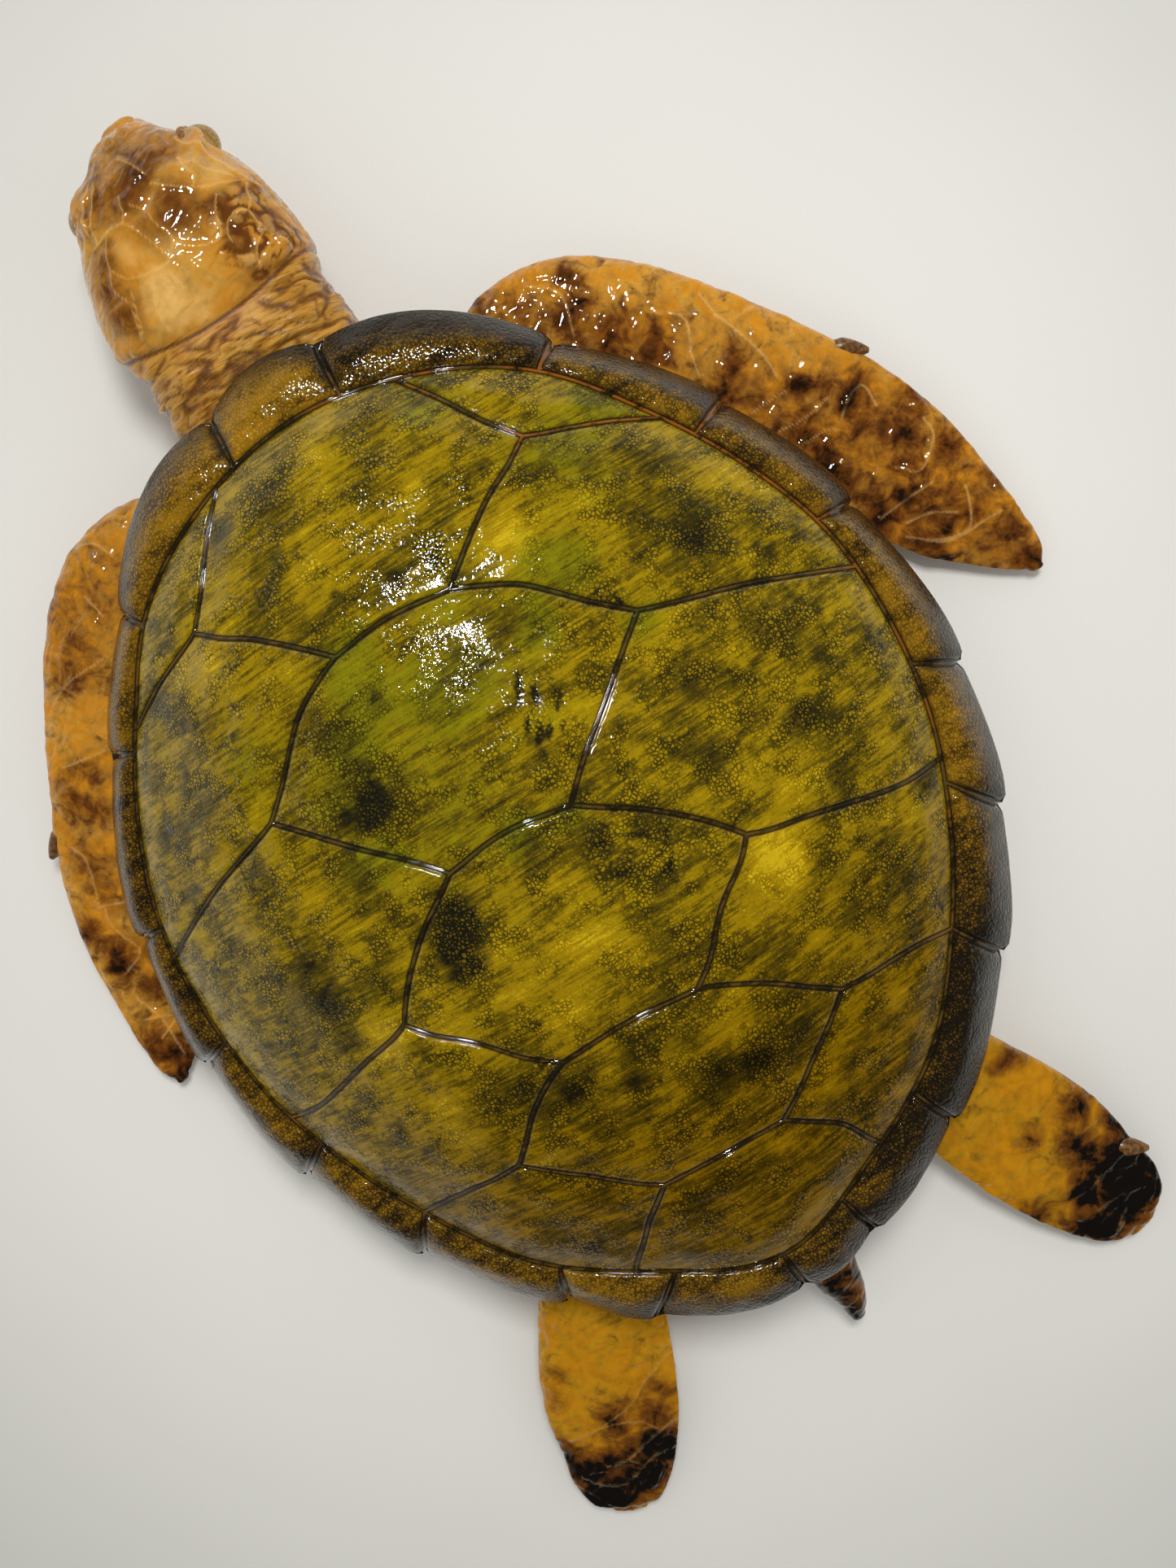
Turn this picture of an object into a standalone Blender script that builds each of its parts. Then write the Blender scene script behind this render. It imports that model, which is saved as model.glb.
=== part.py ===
"""A mounted sea turtle at its real size, resting on its belly.

Frame: metres, +Y towards the beak, +X the turtle's right side, +Z up. The shell is drawn about
its own centre, and the whole turtle is moved at the end, so that the origin lies on the surface
it rests on, below the middle of its box. Plan tables are in millimetres.
"""

import math

import bmesh
import bpy
import numpy as np
from mathutils import Matrix, Vector
from mathutils.kdtree import KDTree

MM = 0.001
GAP = 0.3 * MM  # between pieces that touch

# Shell heights
GROOVE_HEIGHT = 75 * MM  # rim groove above the surface, at the widest place
RIM_SLOPE = 0.01  # the rim climbs this much towards the head
RIM_SAG = 0.3  # and curves up to both ends, per metre
DOME_RISE = 85 * MM
DOME_POWER = 1.9
DOME_ROUND = 0.93
LIP_DROP_SIDE = 23 * MM
LIP_DROP_FRONT = 12 * MM
LIP_DROP_REAR = 14 * MM
LIP_SPREAD = 1.3  # the lip drops in full over this much of the sides
LIP_CURVE = 1.25
LIP_ROLL = ((0.6, 2.6), (4.2, 4.0), (12, 3.0))  # millimetres in from the edge and below it
UNDERSIDE_HEIGHT = 60 * MM
UNDERSIDE_REACH = 0.93  # the flat underside ends at this share of the groove's radius

# Shell relief
SEAM_HALF_WIDTH = 1.7 * MM
SEAM_DEPTH = 1.6 * MM
PILLOW_RISE = 1.4 * MM  # how much a scute swells between its seams
PILLOW_REACH = 16 * MM
RELIEF_END = 1.15  # of the groove's radius, where the swelling and the dents stop
RELIEF_FADE = 8
DENT_DEPTH = 0.5 * MM
MARGINAL_PUFF = 2.2 * MM
MARGINAL_STEP = 1.2 * MM  # each rim scute ends this much above the next
CELL = 21 * MM
SEAM_SPACING = 15 * MM
COVERING_SHARE = 0.45  # of all the plan's faces together, which only one that covers them has

# Radius of the rim groove about the shell's centre, every 15 degrees from nape to tail
GROOVE_RADII = (216, 213, 208, 197, 192, 191, 189, 190, 193, 201, 214, 223, 236)

# Seams between rim scutes on the right (1) and left (-1), nape first: angle at the groove, angle
# at the edge, radius at the edge
RIM_SEAMS = {
    1: (
        (6.2, 5.4, 244),
        (30.8, 32.1, 224),
        (52.4, 53.7, 215),
        (72.6, 74.5, 210.5),
        (96.6, 99.3, 214),
        (113.9, 118, 221),
        (133.8, 135.8, 231.5),
        (155.1, 155.7, 246),
        (170.6, 170.3, 255),
        (180, 180, 258.5),
    ),
    -1: (
        (9.6, 9, 243),
        (33.1, 33.7, 225),
        (50.5, 52, 214),
        (76.5, 77.4, 212),
        (95.7, 96.8, 213.5),
        (116.3, 116.9, 220.5),
        (133.8, 134.9, 231),
        (152.9, 153.3, 241.5),
        (167.3, 163.2, 252.5),
        (180, 180, 258.5),
    ),
}
# How far the edge of each rim scute bulges past a line between its seams, nuchal first, and how
# far to the rear it bulges most: halfway for 1, further for more
SCALLOPS = (
    (7, 1),
    (8.5, 0.8),
    (1, 2.2),
    (1.5, 2.2),
    (1.5, 2.5),
    (1.5, 2.2),
    (1.5, 2.2),
    (2, 2),
    (2.5, 1.6),
    (5, 1.2),
)

# Where seams meet, right half, and the angles at which they run into the rim groove
NODES = {
    "A": (87, 154),
    "B": (29, 110),
    "C": (94, 62),
    "D": (30, 5),
    "E": (87, -45),
    "F": (34, -93),
    "G": (84, -130),
    "H": (31, -170),
}
GROOVE_NODES = {"J": 13, "K": 47.5, "L": 81, "M": 110.5, "N": 133.8, "I": 162.5}
# Right-half seams: start, points between, end
SEAMS = (
    ("J", ((62, 189), (75, 169)), "A"),
    ("A", ((75, 145), (63, 138), (51, 129), (39, 119)), "B"),
    ("A", ((95, 151), (108, 147), (125, 141)), "K"),
    ("B", ((41, 105), (56, 97), (67, 87), (80, 74)), "C"),
    ("C", ((103, 59), (117, 55), (138, 49), (162, 40)), "L"),
    ("C", ((80, 50), (62, 34), (43, 18)), "D"),
    ("D", ((40, -2), (55, -12), (71, -26), (81, -37)), "E"),
    ("E", ((97, -49), (117, -54), (143, -62), (160, -66)), "M"),
    ("E", ((79, -54), (62, -67), (46, -84)), "F"),
    ("F", ((43, -97), (60, -108), (74, -121)), "G"),
    ("G", ((98, -132), (112, -133), (128, -135)), "N"),
    ("G", ((72, -140), (57, -151), (42, -163)), "H"),
    ("H", ((40, -178), (50, -187), (58, -198)), "I"),
)
# Seams across the midline: the node at each end, and how far the middle lies from it
CROSS_SEAMS = (("B", 3), ("D", 4), ("F", 3), ("H", 1))
REAR_SWAY = 5 * MM  # the seams at the rear lean this far to the right
SWAY_FROM = -60 * MM
SWAY_TO = -150 * MM
SWAY_FADE = 8  # and only from an eighth of the radius inside the rim groove

# Belly plate
BELLY_OUTLINE = (
    (0, 166),
    (34, 163),
    (62, 148),
    (80, 120),
    (112, 84),
    (134, 40),
    (137, -15),
    (122, -72),
    (94, -108),
    (82, -150),
    (60, -184),
    (28, -202),
    (0, -206),
)
BELLY_SEAMS_Y = (132, 92, 22, -52, -118, -166)
BELLY_SEAM_DEPTH = 1.2 * MM
BELLY_SEAM_HALF_WIDTH = 1.6 * MM
BELLY_STEP = 24 * MM
# The rings up the belly plate's side: height, how far out of the flat outline, and how much
# further out between the flippers, where it bridges over to the rim
BELLY_TOP = (UNDERSIDE_HEIGHT - GAP) / MM
BELLY_SIDE = ((3.5, 6, 0), (9, 11, 1), (22, 14, 5), (42, 14, 13), (BELLY_TOP, 14, 20))
BRIDGE_REAR = -110 * MM
BRIDGE_FRONT = 102 * MM
BRIDGE_EASE = 45 * MM
CUTTER_BELOW = 20 * MM  # how far the cutter reaches past the belly plate, below and above

# Head and neck: station along Y, middle X, half width, underside and top heights
HEAD_SECTIONS = (
    (385, -12, 9, 35, 46),
    (381, -13, 15, 29, 54),
    (374, -13, 21, 24, 61),
    (365, -13, 29, 19, 68),
    (353, -13, 38.5, 16, 75),
    (336, -12, 46, 13, 81),
    (319, -12, 51, 12, 85),
    (301, -12, 54, 12, 87),
    (288, -12, 54.5, 13, 84),
    (276, -11, 50, 15, 78),
    (262, -10, 51, 13, 76),
    (245, -9, 52, 11, 70),
    (222, -5, 52, 10, 62),
    (195, -2, 52, 9, 57),
    (160, 0, 50, 9, 54),
)
HEAD_SIDES = 10
HEAD_SQUARENESS = 2.35
EYE_RADIUS = 10.5 * MM
EYE_SEGMENTS = 10
EYE_PLACES = {"left_eye": (-43.5, 353, 53), "right_eye": (19.5, 354, 53)}
EYELID_TILT = math.radians(74)
EYELID_LEAN = math.radians(-14)
EYELID_RING = 10.2 * MM
EYELID_THICK = 2.4 * MM
MOUTH_HEIGHT = (39, 36, 33, 31, 31, 32, 33)  # at the first stations of the head, beak first
MOUTH_RADIUS = 1.4 * MM

# Right front flipper: leading edge, trailing edge, middle height, thickness
FRONT_SECTIONS = (
    (66, 205, 70, 110, 33, 26),
    (94, 230, 98, 118, 33, 28),
    (137, 229, 126, 122, 32, 26),
    (174, 204, 152, 112, 30, 23),
    (204, 170, 172, 92, 27, 19),
    (229.5, 136, 190, 68, 23, 16),
    (249.5, 104.5, 203, 45, 19, 14),
    (263.5, 71, 214, 27, 16, 12),
    (271, 37, 226, 13, 13, 10),
    (275, 10, 240, 1, 11, 8),
    (276, -7, 254, -10, 9.5, 6.5),
    (272, -16, 264, -16, 9, 4),
)
FRONT_CLAW = (241, 119.5, 20)
FRONT_PIVOT = (110, 190)
LEFT_TUCK = math.radians(6.8)  # the left front flipper lies closer to the shell
LEFT_TUCK_SHIFT = (2, 4)

# Right hind flipper, in the same terms
HIND_SECTIONS = (
    (112, -160, 52, -192, 31, 24),
    (126, -190, 72, -222, 30, 24),
    (143, -219, 82, -248, 27, 21),
    (158, -245, 92, -273, 23, 17),
    (168, -271, 104, -298, 19, 14),
    (172, -294, 118, -319, 15, 11),
    (176, -312, 129, -332, 12, 9),
    (173, -327, 140, -340, 10, 7),
    (166, -334, 148, -341, 9, 4),
)
HIND_CLAW = (171, -298, 15)
HIND_LEFT_SHIFT = (-2, -13)
FLIPPER_SIDES = 8
CLAW_RADIUS = 4.5 * MM
CLAW_TIP_RADIUS = 0.8 * MM
CLAW_LENGTH = 15 * MM
CLAW_SIDES = 8
CLAW_DIRECTION = (0.83, 0.56, 0.1)  # outwards, backwards and down

# Tail: station along Y, middle X, half width, underside and top heights
TAIL_SECTIONS = (
    (-196, 3, 20, 20, 52),
    (-235, 5, 18, 19, 52),
    (-262, 8, 14, 17, 43),
    (-283, 8, 12, 15, 35),
    (-299, 8, 8, 13, 27),
    (-310, 6, 4, 12, 20),
)
TAIL_SIDES = 12

COLOURS = {
    "shell": (0.17, 0.12, 0.025),
    "belly_plate": (0.55, 0.4, 0.16),
    "skin": (0.36, 0.2, 0.06),
    "eye_glass": (0.2, 0.15, 0.06),
}
ROUGHNESS = {"shell": 0.22, "belly_plate": 0.35, "skin": 0.3, "eye_glass": 0.05}


def clear_scene():
    for obj in list(bpy.data.objects):
        bpy.data.objects.remove(obj, do_unlink=True)


def new_collection(name, hidden=False):
    collection = bpy.data.collections.new(name)
    bpy.context.scene.collection.children.link(collection)
    collection.hide_render = hidden
    return collection


def new_material(name):
    material = bpy.data.materials.new(name)
    material.use_nodes = True
    shader = material.node_tree.nodes["Principled BSDF"]
    shader.inputs["Base Color"].default_value = (*COLOURS[name], 1)
    shader.inputs["Roughness"].default_value = ROUGHNESS[name]
    shader.inputs["Metallic"].default_value = 0
    return material


def new_object(name, bm, collection, material=None, smooth=True):
    mesh = bpy.data.meshes.new(name)
    bmesh.ops.recalc_face_normals(bm, faces=bm.faces)
    bm.to_mesh(mesh)
    bm.free()
    if smooth:
        mesh.shade_smooth()
    obj = bpy.data.objects.new(name, mesh)
    collection.objects.link(obj)
    if material:
        mesh.materials.append(material)
    else:
        obj.hide_render = True
        obj.display_type = "WIRE"
    return obj


def add_subdivision(obj, levels):
    modifier = obj.modifiers.new("round", "SUBSURF")
    modifier.levels = levels
    modifier.render_levels = levels


def add_boolean(obj, cutter, operation):
    modifier = obj.modifiers.new(operation.lower(), "BOOLEAN")
    modifier.operation = operation
    modifier.solver = "EXACT"
    modifier.object = cutter


# Curves in the plan


def catmull_rom(a, b, c, d, t):
    """The point a share t of the way from b to c on a smooth curve through a, b, c and d."""
    straight = 2 * b + (c - a) * t
    return 0.5 * (straight + (2 * a - 5 * b + 4 * c - d) * t**2 + (3 * b - 3 * c + d - a) * t**3)


def smooth_path(points, spacing):
    """Points about this far apart on a smooth curve through the given ones."""
    held = [points[0] * 2 - points[1], *points, points[-1] * 2 - points[-2]]
    path = [points[0]]
    for a, b, c, d in zip(held, held[1:], held[2:], held[3:]):
        count = max(1, round((c - b).length / spacing))
        path += [catmull_rom(a, b, c, d, (i + 1) / count) for i in range(count)]
    return path


def groove_radius(angle):
    """The rim groove's radius at an angle in degrees from the nape, the same on both sides."""
    ring = GROOVE_RADII + GROOVE_RADII[-2:0:-1]
    place = angle / 360 * len(ring)
    i = math.floor(place)
    around = [ring[(i + k) % len(ring)] for k in (-1, 0, 1, 2)]
    return catmull_rom(*around, place - i) * MM


def rim_place(angle):
    """The rim seams before and behind an angle, how far between them it lies, and the scallop."""
    angle = (angle + 180) % 360 - 180
    seams = RIM_SEAMS[1 if angle > 0 else -1]
    if abs(angle) <= seams[0][1]:
        before, behind = RIM_SEAMS[-1][0], RIM_SEAMS[1][0]
        return before, behind, (angle + before[1]) / (before[1] + behind[1]), SCALLOPS[0]
    for before, behind, scallop in zip(seams, seams[1:], SCALLOPS[1:]):
        if abs(angle) <= behind[1]:
            return before, behind, (abs(angle) - before[1]) / (behind[1] - before[1]), scallop


def edge_radius(angle):
    """The radius of the shell's scalloped edge."""
    (_, _, low), (_, _, high), share, (bulge, skew) = rim_place(angle)
    return (low + (high - low) * share + bulge * math.sin(math.pi * share**skew)) * MM


def at_angle(angle, radius):
    turned = math.radians(angle)
    return Vector((math.sin(turned), math.cos(turned), 0)) * radius


def plan_point(x, y):
    return Vector((x, y, 0)) * MM


def mirrored(point):
    return Vector((-point.x, point.y, point.z))


def smoothstep(value):
    value = min(1.0, max(0.0, value))
    return value * value * (3 - 2 * value)


def swayed(point):
    lean = REAR_SWAY * smoothstep((point.y - SWAY_FROM) / (SWAY_TO - SWAY_FROM))
    from_rim = 1 - point.length / groove_radius(math.degrees(math.atan2(point.x, point.y)))
    return point + Vector((lean * smoothstep(from_rim * SWAY_FADE), 0, 0))


def seam_node(name):
    if name in GROOVE_NODES:
        return at_angle(GROOVE_NODES[name], groove_radius(GROOVE_NODES[name]))
    return plan_point(*NODES[name])


def shell_seams(spacing):
    """The seams inside the rim groove, as lists of plan points."""
    paths = []
    for start, between, end in SEAMS:
        points = [seam_node(start), *(plan_point(*p) for p in between), seam_node(end)]
        path = smooth_path(points, spacing)
        paths += [path, [mirrored(p) for p in path]]
    for name, rise in CROSS_SEAMS:
        end = seam_node(name)
        middle = Vector((0, end.y + rise * MM, 0))
        paths.append(smooth_path([mirrored(end), middle, end], spacing))
    return [[swayed(p) for p in path] for path in paths]


def ring_path(radius_at, stops, spacing):
    """A closed ring through every stop angle, with points between them."""
    path = []
    for start, end in zip(stops, stops[1:] + [stops[0] + 360]):
        arc = math.radians(end - start) * radius_at((start + end) / 2)
        count = max(1, round(arc / spacing))
        for i in range(count):
            angle = start + (end - start) * i / count
            path.append(at_angle(angle, radius_at(angle)))
    return path + path[:1]


def around(angles):
    return sorted({angle % 360 for angle in angles})


def rim_paths(spacing):
    """The groove ring, the edge ring and the seams between rim scutes."""
    nodes = [side * angle for side in RIM_SEAMS for angle in GROOVE_NODES.values()]
    seams = [(side * inner, side * outer) for side in RIM_SEAMS for inner, outer, _ in RIM_SEAMS[side]]
    groove = ring_path(groove_radius, around([inner for inner, _ in seams] + nodes), spacing)
    edge = ring_path(edge_radius, around([outer for _, outer in seams]), spacing)
    spokes = []
    for inner, outer in seams[:-1]:
        start = at_angle(inner, groove_radius(inner))
        end = at_angle(outer, edge_radius(outer))
        spokes.append(smooth_path([start, end], spacing))
    return groove, edge, spokes


# Plan meshes


def faces_between(bm, paths):
    """One flat face for each area that the paths enclose, without one that covers them all."""
    for path in paths:
        verts = [bm.verts.new(point) for point in path]
        for ends in zip(verts, verts[1:]):
            bm.edges.new(ends)
    bmesh.ops.remove_doubles(bm, verts=bm.verts, dist=0.01 * MM)
    bmesh.ops.edgenet_fill(bm, edges=bm.edges)
    largest = max(bm.faces, key=lambda face: face.calc_area())
    if largest.calc_area() > COVERING_SHARE * sum(face.calc_area() for face in bm.faces):
        bmesh.ops.delete(bm, geom=[largest], context="FACES_ONLY")
    for face in bm.faces:
        if face.normal.z < 0:
            face.normal_flip()
    return list(bm.faces)


def inset_each(bm, faces, width):
    """Insets every face by itself and returns the faces left in the middle."""
    bmesh.ops.inset_individual(bm, faces=faces, thickness=width, use_even_offset=True)
    return faces


def slice_faces(bm, faces, axis, step):
    """Cuts the faces along a grid, and leaves their neighbours whole."""
    normal = Vector((axis == 0, axis == 1, 0))
    low = min(v.co[axis] for f in faces for v in f.verts)
    high = max(v.co[axis] for f in faces for v in f.verts)
    live = list(faces)
    done = []
    for i in range(math.ceil(low / step), math.floor(high / step) + 1):
        ahead = []
        for face in live:
            passed = max(v.co[axis] for v in face.verts) <= i * step
            (done if passed else ahead).append(face)
        geometry = set(ahead)
        for face in ahead:
            geometry.update(face.edges)
            geometry.update(face.verts)
        cut = bmesh.ops.bisect_plane(
            bm, geom=list(geometry), dist=0.01 * MM, plane_co=normal * i * step, plane_no=normal
        )
        live = [item for item in cut["geom"] if isinstance(item, bmesh.types.BMFace)]
    return done + live


# Shell surface


def rim_height(y):
    return GROOVE_HEIGHT + RIM_SLOPE * y + RIM_SAG * y * y


def lip_drop(angle):
    end = LIP_DROP_FRONT if abs(angle) < 90 else LIP_DROP_REAR
    side = min(1, abs(math.sin(math.radians(angle))) * LIP_SPREAD) ** 1.5
    return end + (LIP_DROP_SIDE - end) * side


def shell_height(x, y):
    """The shell's height at a plan point, before its seams are sunk."""
    radius = math.hypot(x, y)
    angle = math.degrees(math.atan2(x, y))
    inner = groove_radius(angle)
    if radius <= inner:
        share = 1 - (radius / inner) ** DOME_POWER
        return rim_height(y) + DOME_RISE * share**DOME_ROUND
    out = min(1, (radius - inner) / (edge_radius(angle) - inner))
    groove_y = y * inner / radius
    step = MARGINAL_STEP * (rim_place(angle)[2] - 0.5)
    puff = MARGINAL_PUFF * math.sin(math.pi * out) + step * math.sin(math.pi * out / 2)
    return rim_height(groove_y) + puff - lip_drop(angle) * out**LIP_CURVE


def undulation(x, y):
    """Broad dents and swells, as on any old scute."""
    return DENT_DEPTH * (
        math.sin(61 * x + 23 * y + 0.7) * math.sin(47 * y - 19 * x + 2.1)
        + 0.6 * math.sin(118 * x - 71 * y + 1.3) * math.sin(97 * y + 66 * x)
    )


def nearest_seam(paths):
    points = [a.lerp(b, t / 8) for path in paths for a, b in zip(path, path[1:]) for t in range(8)]
    tree = KDTree(len(points))
    for i, point in enumerate(points):
        tree.insert(point, i)
    tree.balance()
    return tree


def raise_shell(bm, seams):
    """Lifts the flat plan onto the dome, sinks its seams and swells its scutes."""
    tree = nearest_seam(seams)
    for vert in bm.verts:
        x, y, _ = vert.co
        away = tree.find(vert.co)[2]
        sunk = SEAM_DEPTH * max(0, 1 - away / SEAM_HALF_WIDTH)
        swell = PILLOW_RISE * smoothstep(away / PILLOW_REACH)
        from_middle = math.hypot(x, y) / groove_radius(math.degrees(math.atan2(x, y)))
        inside = min(1, max(0, RELIEF_END - from_middle) * RELIEF_FADE)
        vert.co.z = shell_height(x, y) - sunk + (swell + undulation(x, y)) * inside


def roll_rim_under(bm):
    """Carries the edge round the lip and in under the shell, and closes the underside."""
    loop = [e for e in bm.edges if e.is_boundary]
    for inset, below in LIP_ROLL:
        loop = extrude_loop(bm, loop)
        for vert in {v for e in loop for v in e.verts}:
            angle = math.degrees(math.atan2(vert.co.x, vert.co.y))
            radius = edge_radius(angle)
            lip = shell_height(*(at_angle(angle, radius).xy))
            vert.co = at_angle(angle, radius - inset * MM) + Vector((0, 0, lip - below * MM))
    loop = extrude_loop(bm, loop)
    for vert in {v for e in loop for v in e.verts}:
        angle = math.degrees(math.atan2(vert.co.x, vert.co.y))
        vert.co = at_angle(angle, groove_radius(angle) * UNDERSIDE_REACH)
        vert.co.z = UNDERSIDE_HEIGHT
    bmesh.ops.holes_fill(bm, edges=loop)


def extrude_loop(bm, loop):
    made = bmesh.ops.extrude_edge_only(bm, edges=loop)["geom"]
    fresh = {v for v in made if isinstance(v, bmesh.types.BMVert)}
    return [e for e in made if isinstance(e, bmesh.types.BMEdge) and set(e.verts) <= fresh]


def build_carapace(collection, material):
    seams = shell_seams(SEAM_SPACING)
    groove, edge, spokes = rim_paths(SEAM_SPACING)
    bm = bmesh.new()
    middles = inset_each(bm, faces_between(bm, [*seams, groove, edge, *spokes]), SEAM_HALF_WIDTH)
    for axis in (0, 1):
        middles = slice_faces(bm, middles, axis, CELL)
    raise_shell(bm, [*seams, groove, *spokes])
    roll_rim_under(bm)
    bmesh.ops.triangulate(bm, faces=bm.faces)
    return new_object("carapace", bm, collection, material)


# Belly plate


def belly_ring(spacing):
    """The belly plate's flat outline, as one ring of points."""
    half = [plan_point(*p) for p in BELLY_OUTLINE]
    points = [mirrored(half[1]), *half, mirrored(half[-2])]
    right = []
    for a, b, c, d in zip(points, points[1:], points[2:], points[3:]):
        count = max(1, round((c - b).length / spacing))
        right += [catmull_rom(a, b, c, d, i / count) for i in range(count)]
    return [*right, half[-1], *(mirrored(p) for p in right[:0:-1])]


def outward(ring):
    """The direction away from the ring's middle at each of its points."""
    directions = []
    for before, after in zip(ring[-1:] + ring[:-1], ring[1:] + ring[:1]):
        along = (after - before).normalized()
        directions.append(Vector((-along.y, along.x, 0)))
    return directions


def with_crossings(ring, rows):
    """The ring with a point wherever it crosses one of the rows, and none of its own close by."""
    crossings = {}
    for i, (a, b) in enumerate(zip(ring, ring[1:] + ring[:1])):
        hits = [a.lerp(b, (y - a.y) / (b.y - a.y)) for y in rows if (a.y - y) * (b.y - y) < 0]
        crossings[i] = sorted(hits, key=lambda p: (p - a).length)
    every = [hit for hits in crossings.values() for hit in hits]
    result = []
    for i, point in enumerate(ring):
        if min((point - hit).length for hit in every) > BELLY_STEP / 5:
            result.append(point)
        result += crossings[i]
    return result


def bridge_share(y):
    """1 between the flippers and 0 beside them."""
    inside = min(y - BRIDGE_REAR, BRIDGE_FRONT - y)
    return smoothstep(inside / BRIDGE_EASE)


def build_plastron(collection, material):
    rows = [y * MM for y in BELLY_SEAMS_Y]
    ring = with_crossings(belly_ring(BELLY_STEP), rows)
    middle = [Vector((0, y, 0)) for y in (ring[0].y, *rows, min(p.y for p in ring))]
    across = []
    for y in rows:
        half = max(p.x for p in ring if abs(p.y - y) < 0.001 * MM)
        across.append([Vector((x, y, 0)) for x in (-half, 0, half)])
    bm = bmesh.new()
    faces = faces_between(bm, [ring + ring[:1], middle, *across])
    seam_verts = list(bm.verts)
    inset_each(bm, faces, BELLY_SEAM_HALF_WIDTH)
    for vert in seam_verts:
        vert.co.z = BELLY_SEAM_DEPTH
    loop = [e for e in bm.edges if e.is_boundary]
    directions = outward(ring)
    places = [p + Vector((0, 0, BELLY_SEAM_DEPTH)) for p in ring]
    for height, out, bridge in BELLY_SIDE:
        loop = extrude_loop(bm, loop)
        tree = KDTree(len(places))
        for i, place in enumerate(places):
            tree.insert(place, i)
        tree.balance()
        reach = [(out + bridge * bridge_share(p.y)) * MM for p in ring]
        places = [p + d * r + Vector((0, 0, height * MM)) for p, d, r in zip(ring, directions, reach)]
        for vert in {v for e in loop for v in e.verts}:
            vert.co = places[tree.find(vert.co)[1]]
    bmesh.ops.holes_fill(bm, edges=loop)
    bmesh.ops.triangulate(bm, faces=bm.faces)
    return new_object("plastron", bm, collection, material)


def belly_cutter(collection):
    """A prism round the belly plate, for parting the limbs from it."""
    bm = bmesh.new()
    _, out, bridge = BELLY_SIDE[-1]
    ring = with_crossings(belly_ring(BELLY_STEP), [y * MM for y in BELLY_SEAMS_Y])
    grown = []
    for point, direction in zip(ring, outward(ring)):
        grown.append(point + direction * ((out + bridge * bridge_share(point.y)) * MM + GAP))
    verts = [bm.verts.new(p - Vector((0, 0, CUTTER_BELOW))) for p in grown]
    face = bm.faces.new(verts)
    made = bmesh.ops.extrude_face_region(bm, geom=[face])["geom"]
    top = [v for v in made if isinstance(v, bmesh.types.BMVert)]
    bmesh.ops.translate(bm, verts=top, vec=(0, 0, UNDERSIDE_HEIGHT + 2 * CUTTER_BELOW))
    return new_object("belly_cutter", bm, collection, smooth=False)


# Lofted parts


def loft(rings):
    """A closed skin over rings with equal counts of points."""
    bm = bmesh.new()
    loops = []
    for ring in rings:
        verts = bmesh.ops.create_circle(bm, segments=len(ring), radius=1)["verts"]
        for vert, point in zip(verts, ring):
            vert.co = point
        loops.append(list({e for v in verts for e in v.link_edges}))
    for near, far in zip(loops, loops[1:]):
        bmesh.ops.bridge_loops(bm, edges=near + far)
    bmesh.ops.holes_fill(bm, edges=loops[0] + loops[-1])
    return bm


def rounding_allowance(count):
    """How much wider a ring is drawn, for what smoothing takes off it."""
    return 1 / (1 - (1 - math.cos(2 * math.pi / count)) / 3)


def oval(count, squareness):
    """Points round a superellipse that smooths to unit size, as pairs of side and height."""
    allowance = rounding_allowance(count)
    pairs = []
    for i in range(count):
        turn = 2 * math.pi * (i + 0.5) / count
        c, s = math.cos(turn), math.sin(turn)
        size = allowance * (abs(c) ** squareness + abs(s) ** squareness) ** (-1 / squareness)
        pairs.append((c * size, s * size))
    return pairs


def body_rings(sections, count, squareness):
    rings = []
    for y, x, half, low, high in sections:
        middle, reach = (low + high) / 2, (high - low) / 2
        places = [(x + u * half, y, middle + w * reach) for u, w in oval(count, squareness)]
        rings.append([Vector(place) * MM for place in places])
    return rings


def flipper_rings(sections):
    """Rings like a wing's: thick near the leading edge and thin behind."""
    allowance = rounding_allowance(FLIPPER_SIDES)
    rings = []
    for lead_x, lead_y, trail_x, trail_y, height, thick in sections:
        lead = Vector((lead_x, lead_y, height))
        trail = Vector((trail_x, trail_y, height))
        ring = []
        for i in range(FLIPPER_SIDES):
            turn = 2 * math.pi * i / FLIPPER_SIDES
            share = (1 - allowance * math.cos(turn)) / 2
            lift = allowance * thick / 2 * math.sin(turn) * (1.2 - 0.6 * share)
            ring.append((lead.lerp(trail, share) + Vector((0, 0, lift))) * MM)
        rings.append(ring)
    return rings


def tube(bm, centres, sides, radius, closed):
    """A tube through the centres, square to the way they run."""
    count = len(centres)
    loops = []
    for i, centre in enumerate(centres):
        before = centres[i - 1] if closed or i else centre
        after = centres[(i + 1) % count] if closed or i < count - 1 else centre
        turn = (after - before).to_track_quat("Z", "Y").to_matrix().to_4x4()
        made = bmesh.ops.create_circle(
            bm, segments=sides, radius=radius, matrix=Matrix.Translation(centre) @ turn
        )
        loops.append(list({e for v in made["verts"] for e in v.link_edges}))
    for near, far in zip(loops, loops[1:] + (loops[:1] if closed else [])):
        bmesh.ops.bridge_loops(bm, edges=near + far)
    if not closed:
        bmesh.ops.holes_fill(bm, edges=loops[0] + loops[-1])


def add_eyelids(bm):
    for x, y, z in EYE_PLACES.values():
        side = math.copysign(1, x - HEAD_SECTIONS[3][1])
        turn = Matrix.Rotation(side * EYELID_TILT, 4, "Y") @ Matrix.Rotation(EYELID_LEAN, 4, "X")
        place = Matrix.Translation(Vector((x, y, z)) * MM) @ turn
        ring = [place @ at_angle(360 * i / EYE_SEGMENTS, EYELID_RING) for i in range(EYE_SEGMENTS)]
        tube(bm, ring, 5, EYELID_THICK, closed=True)


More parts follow.
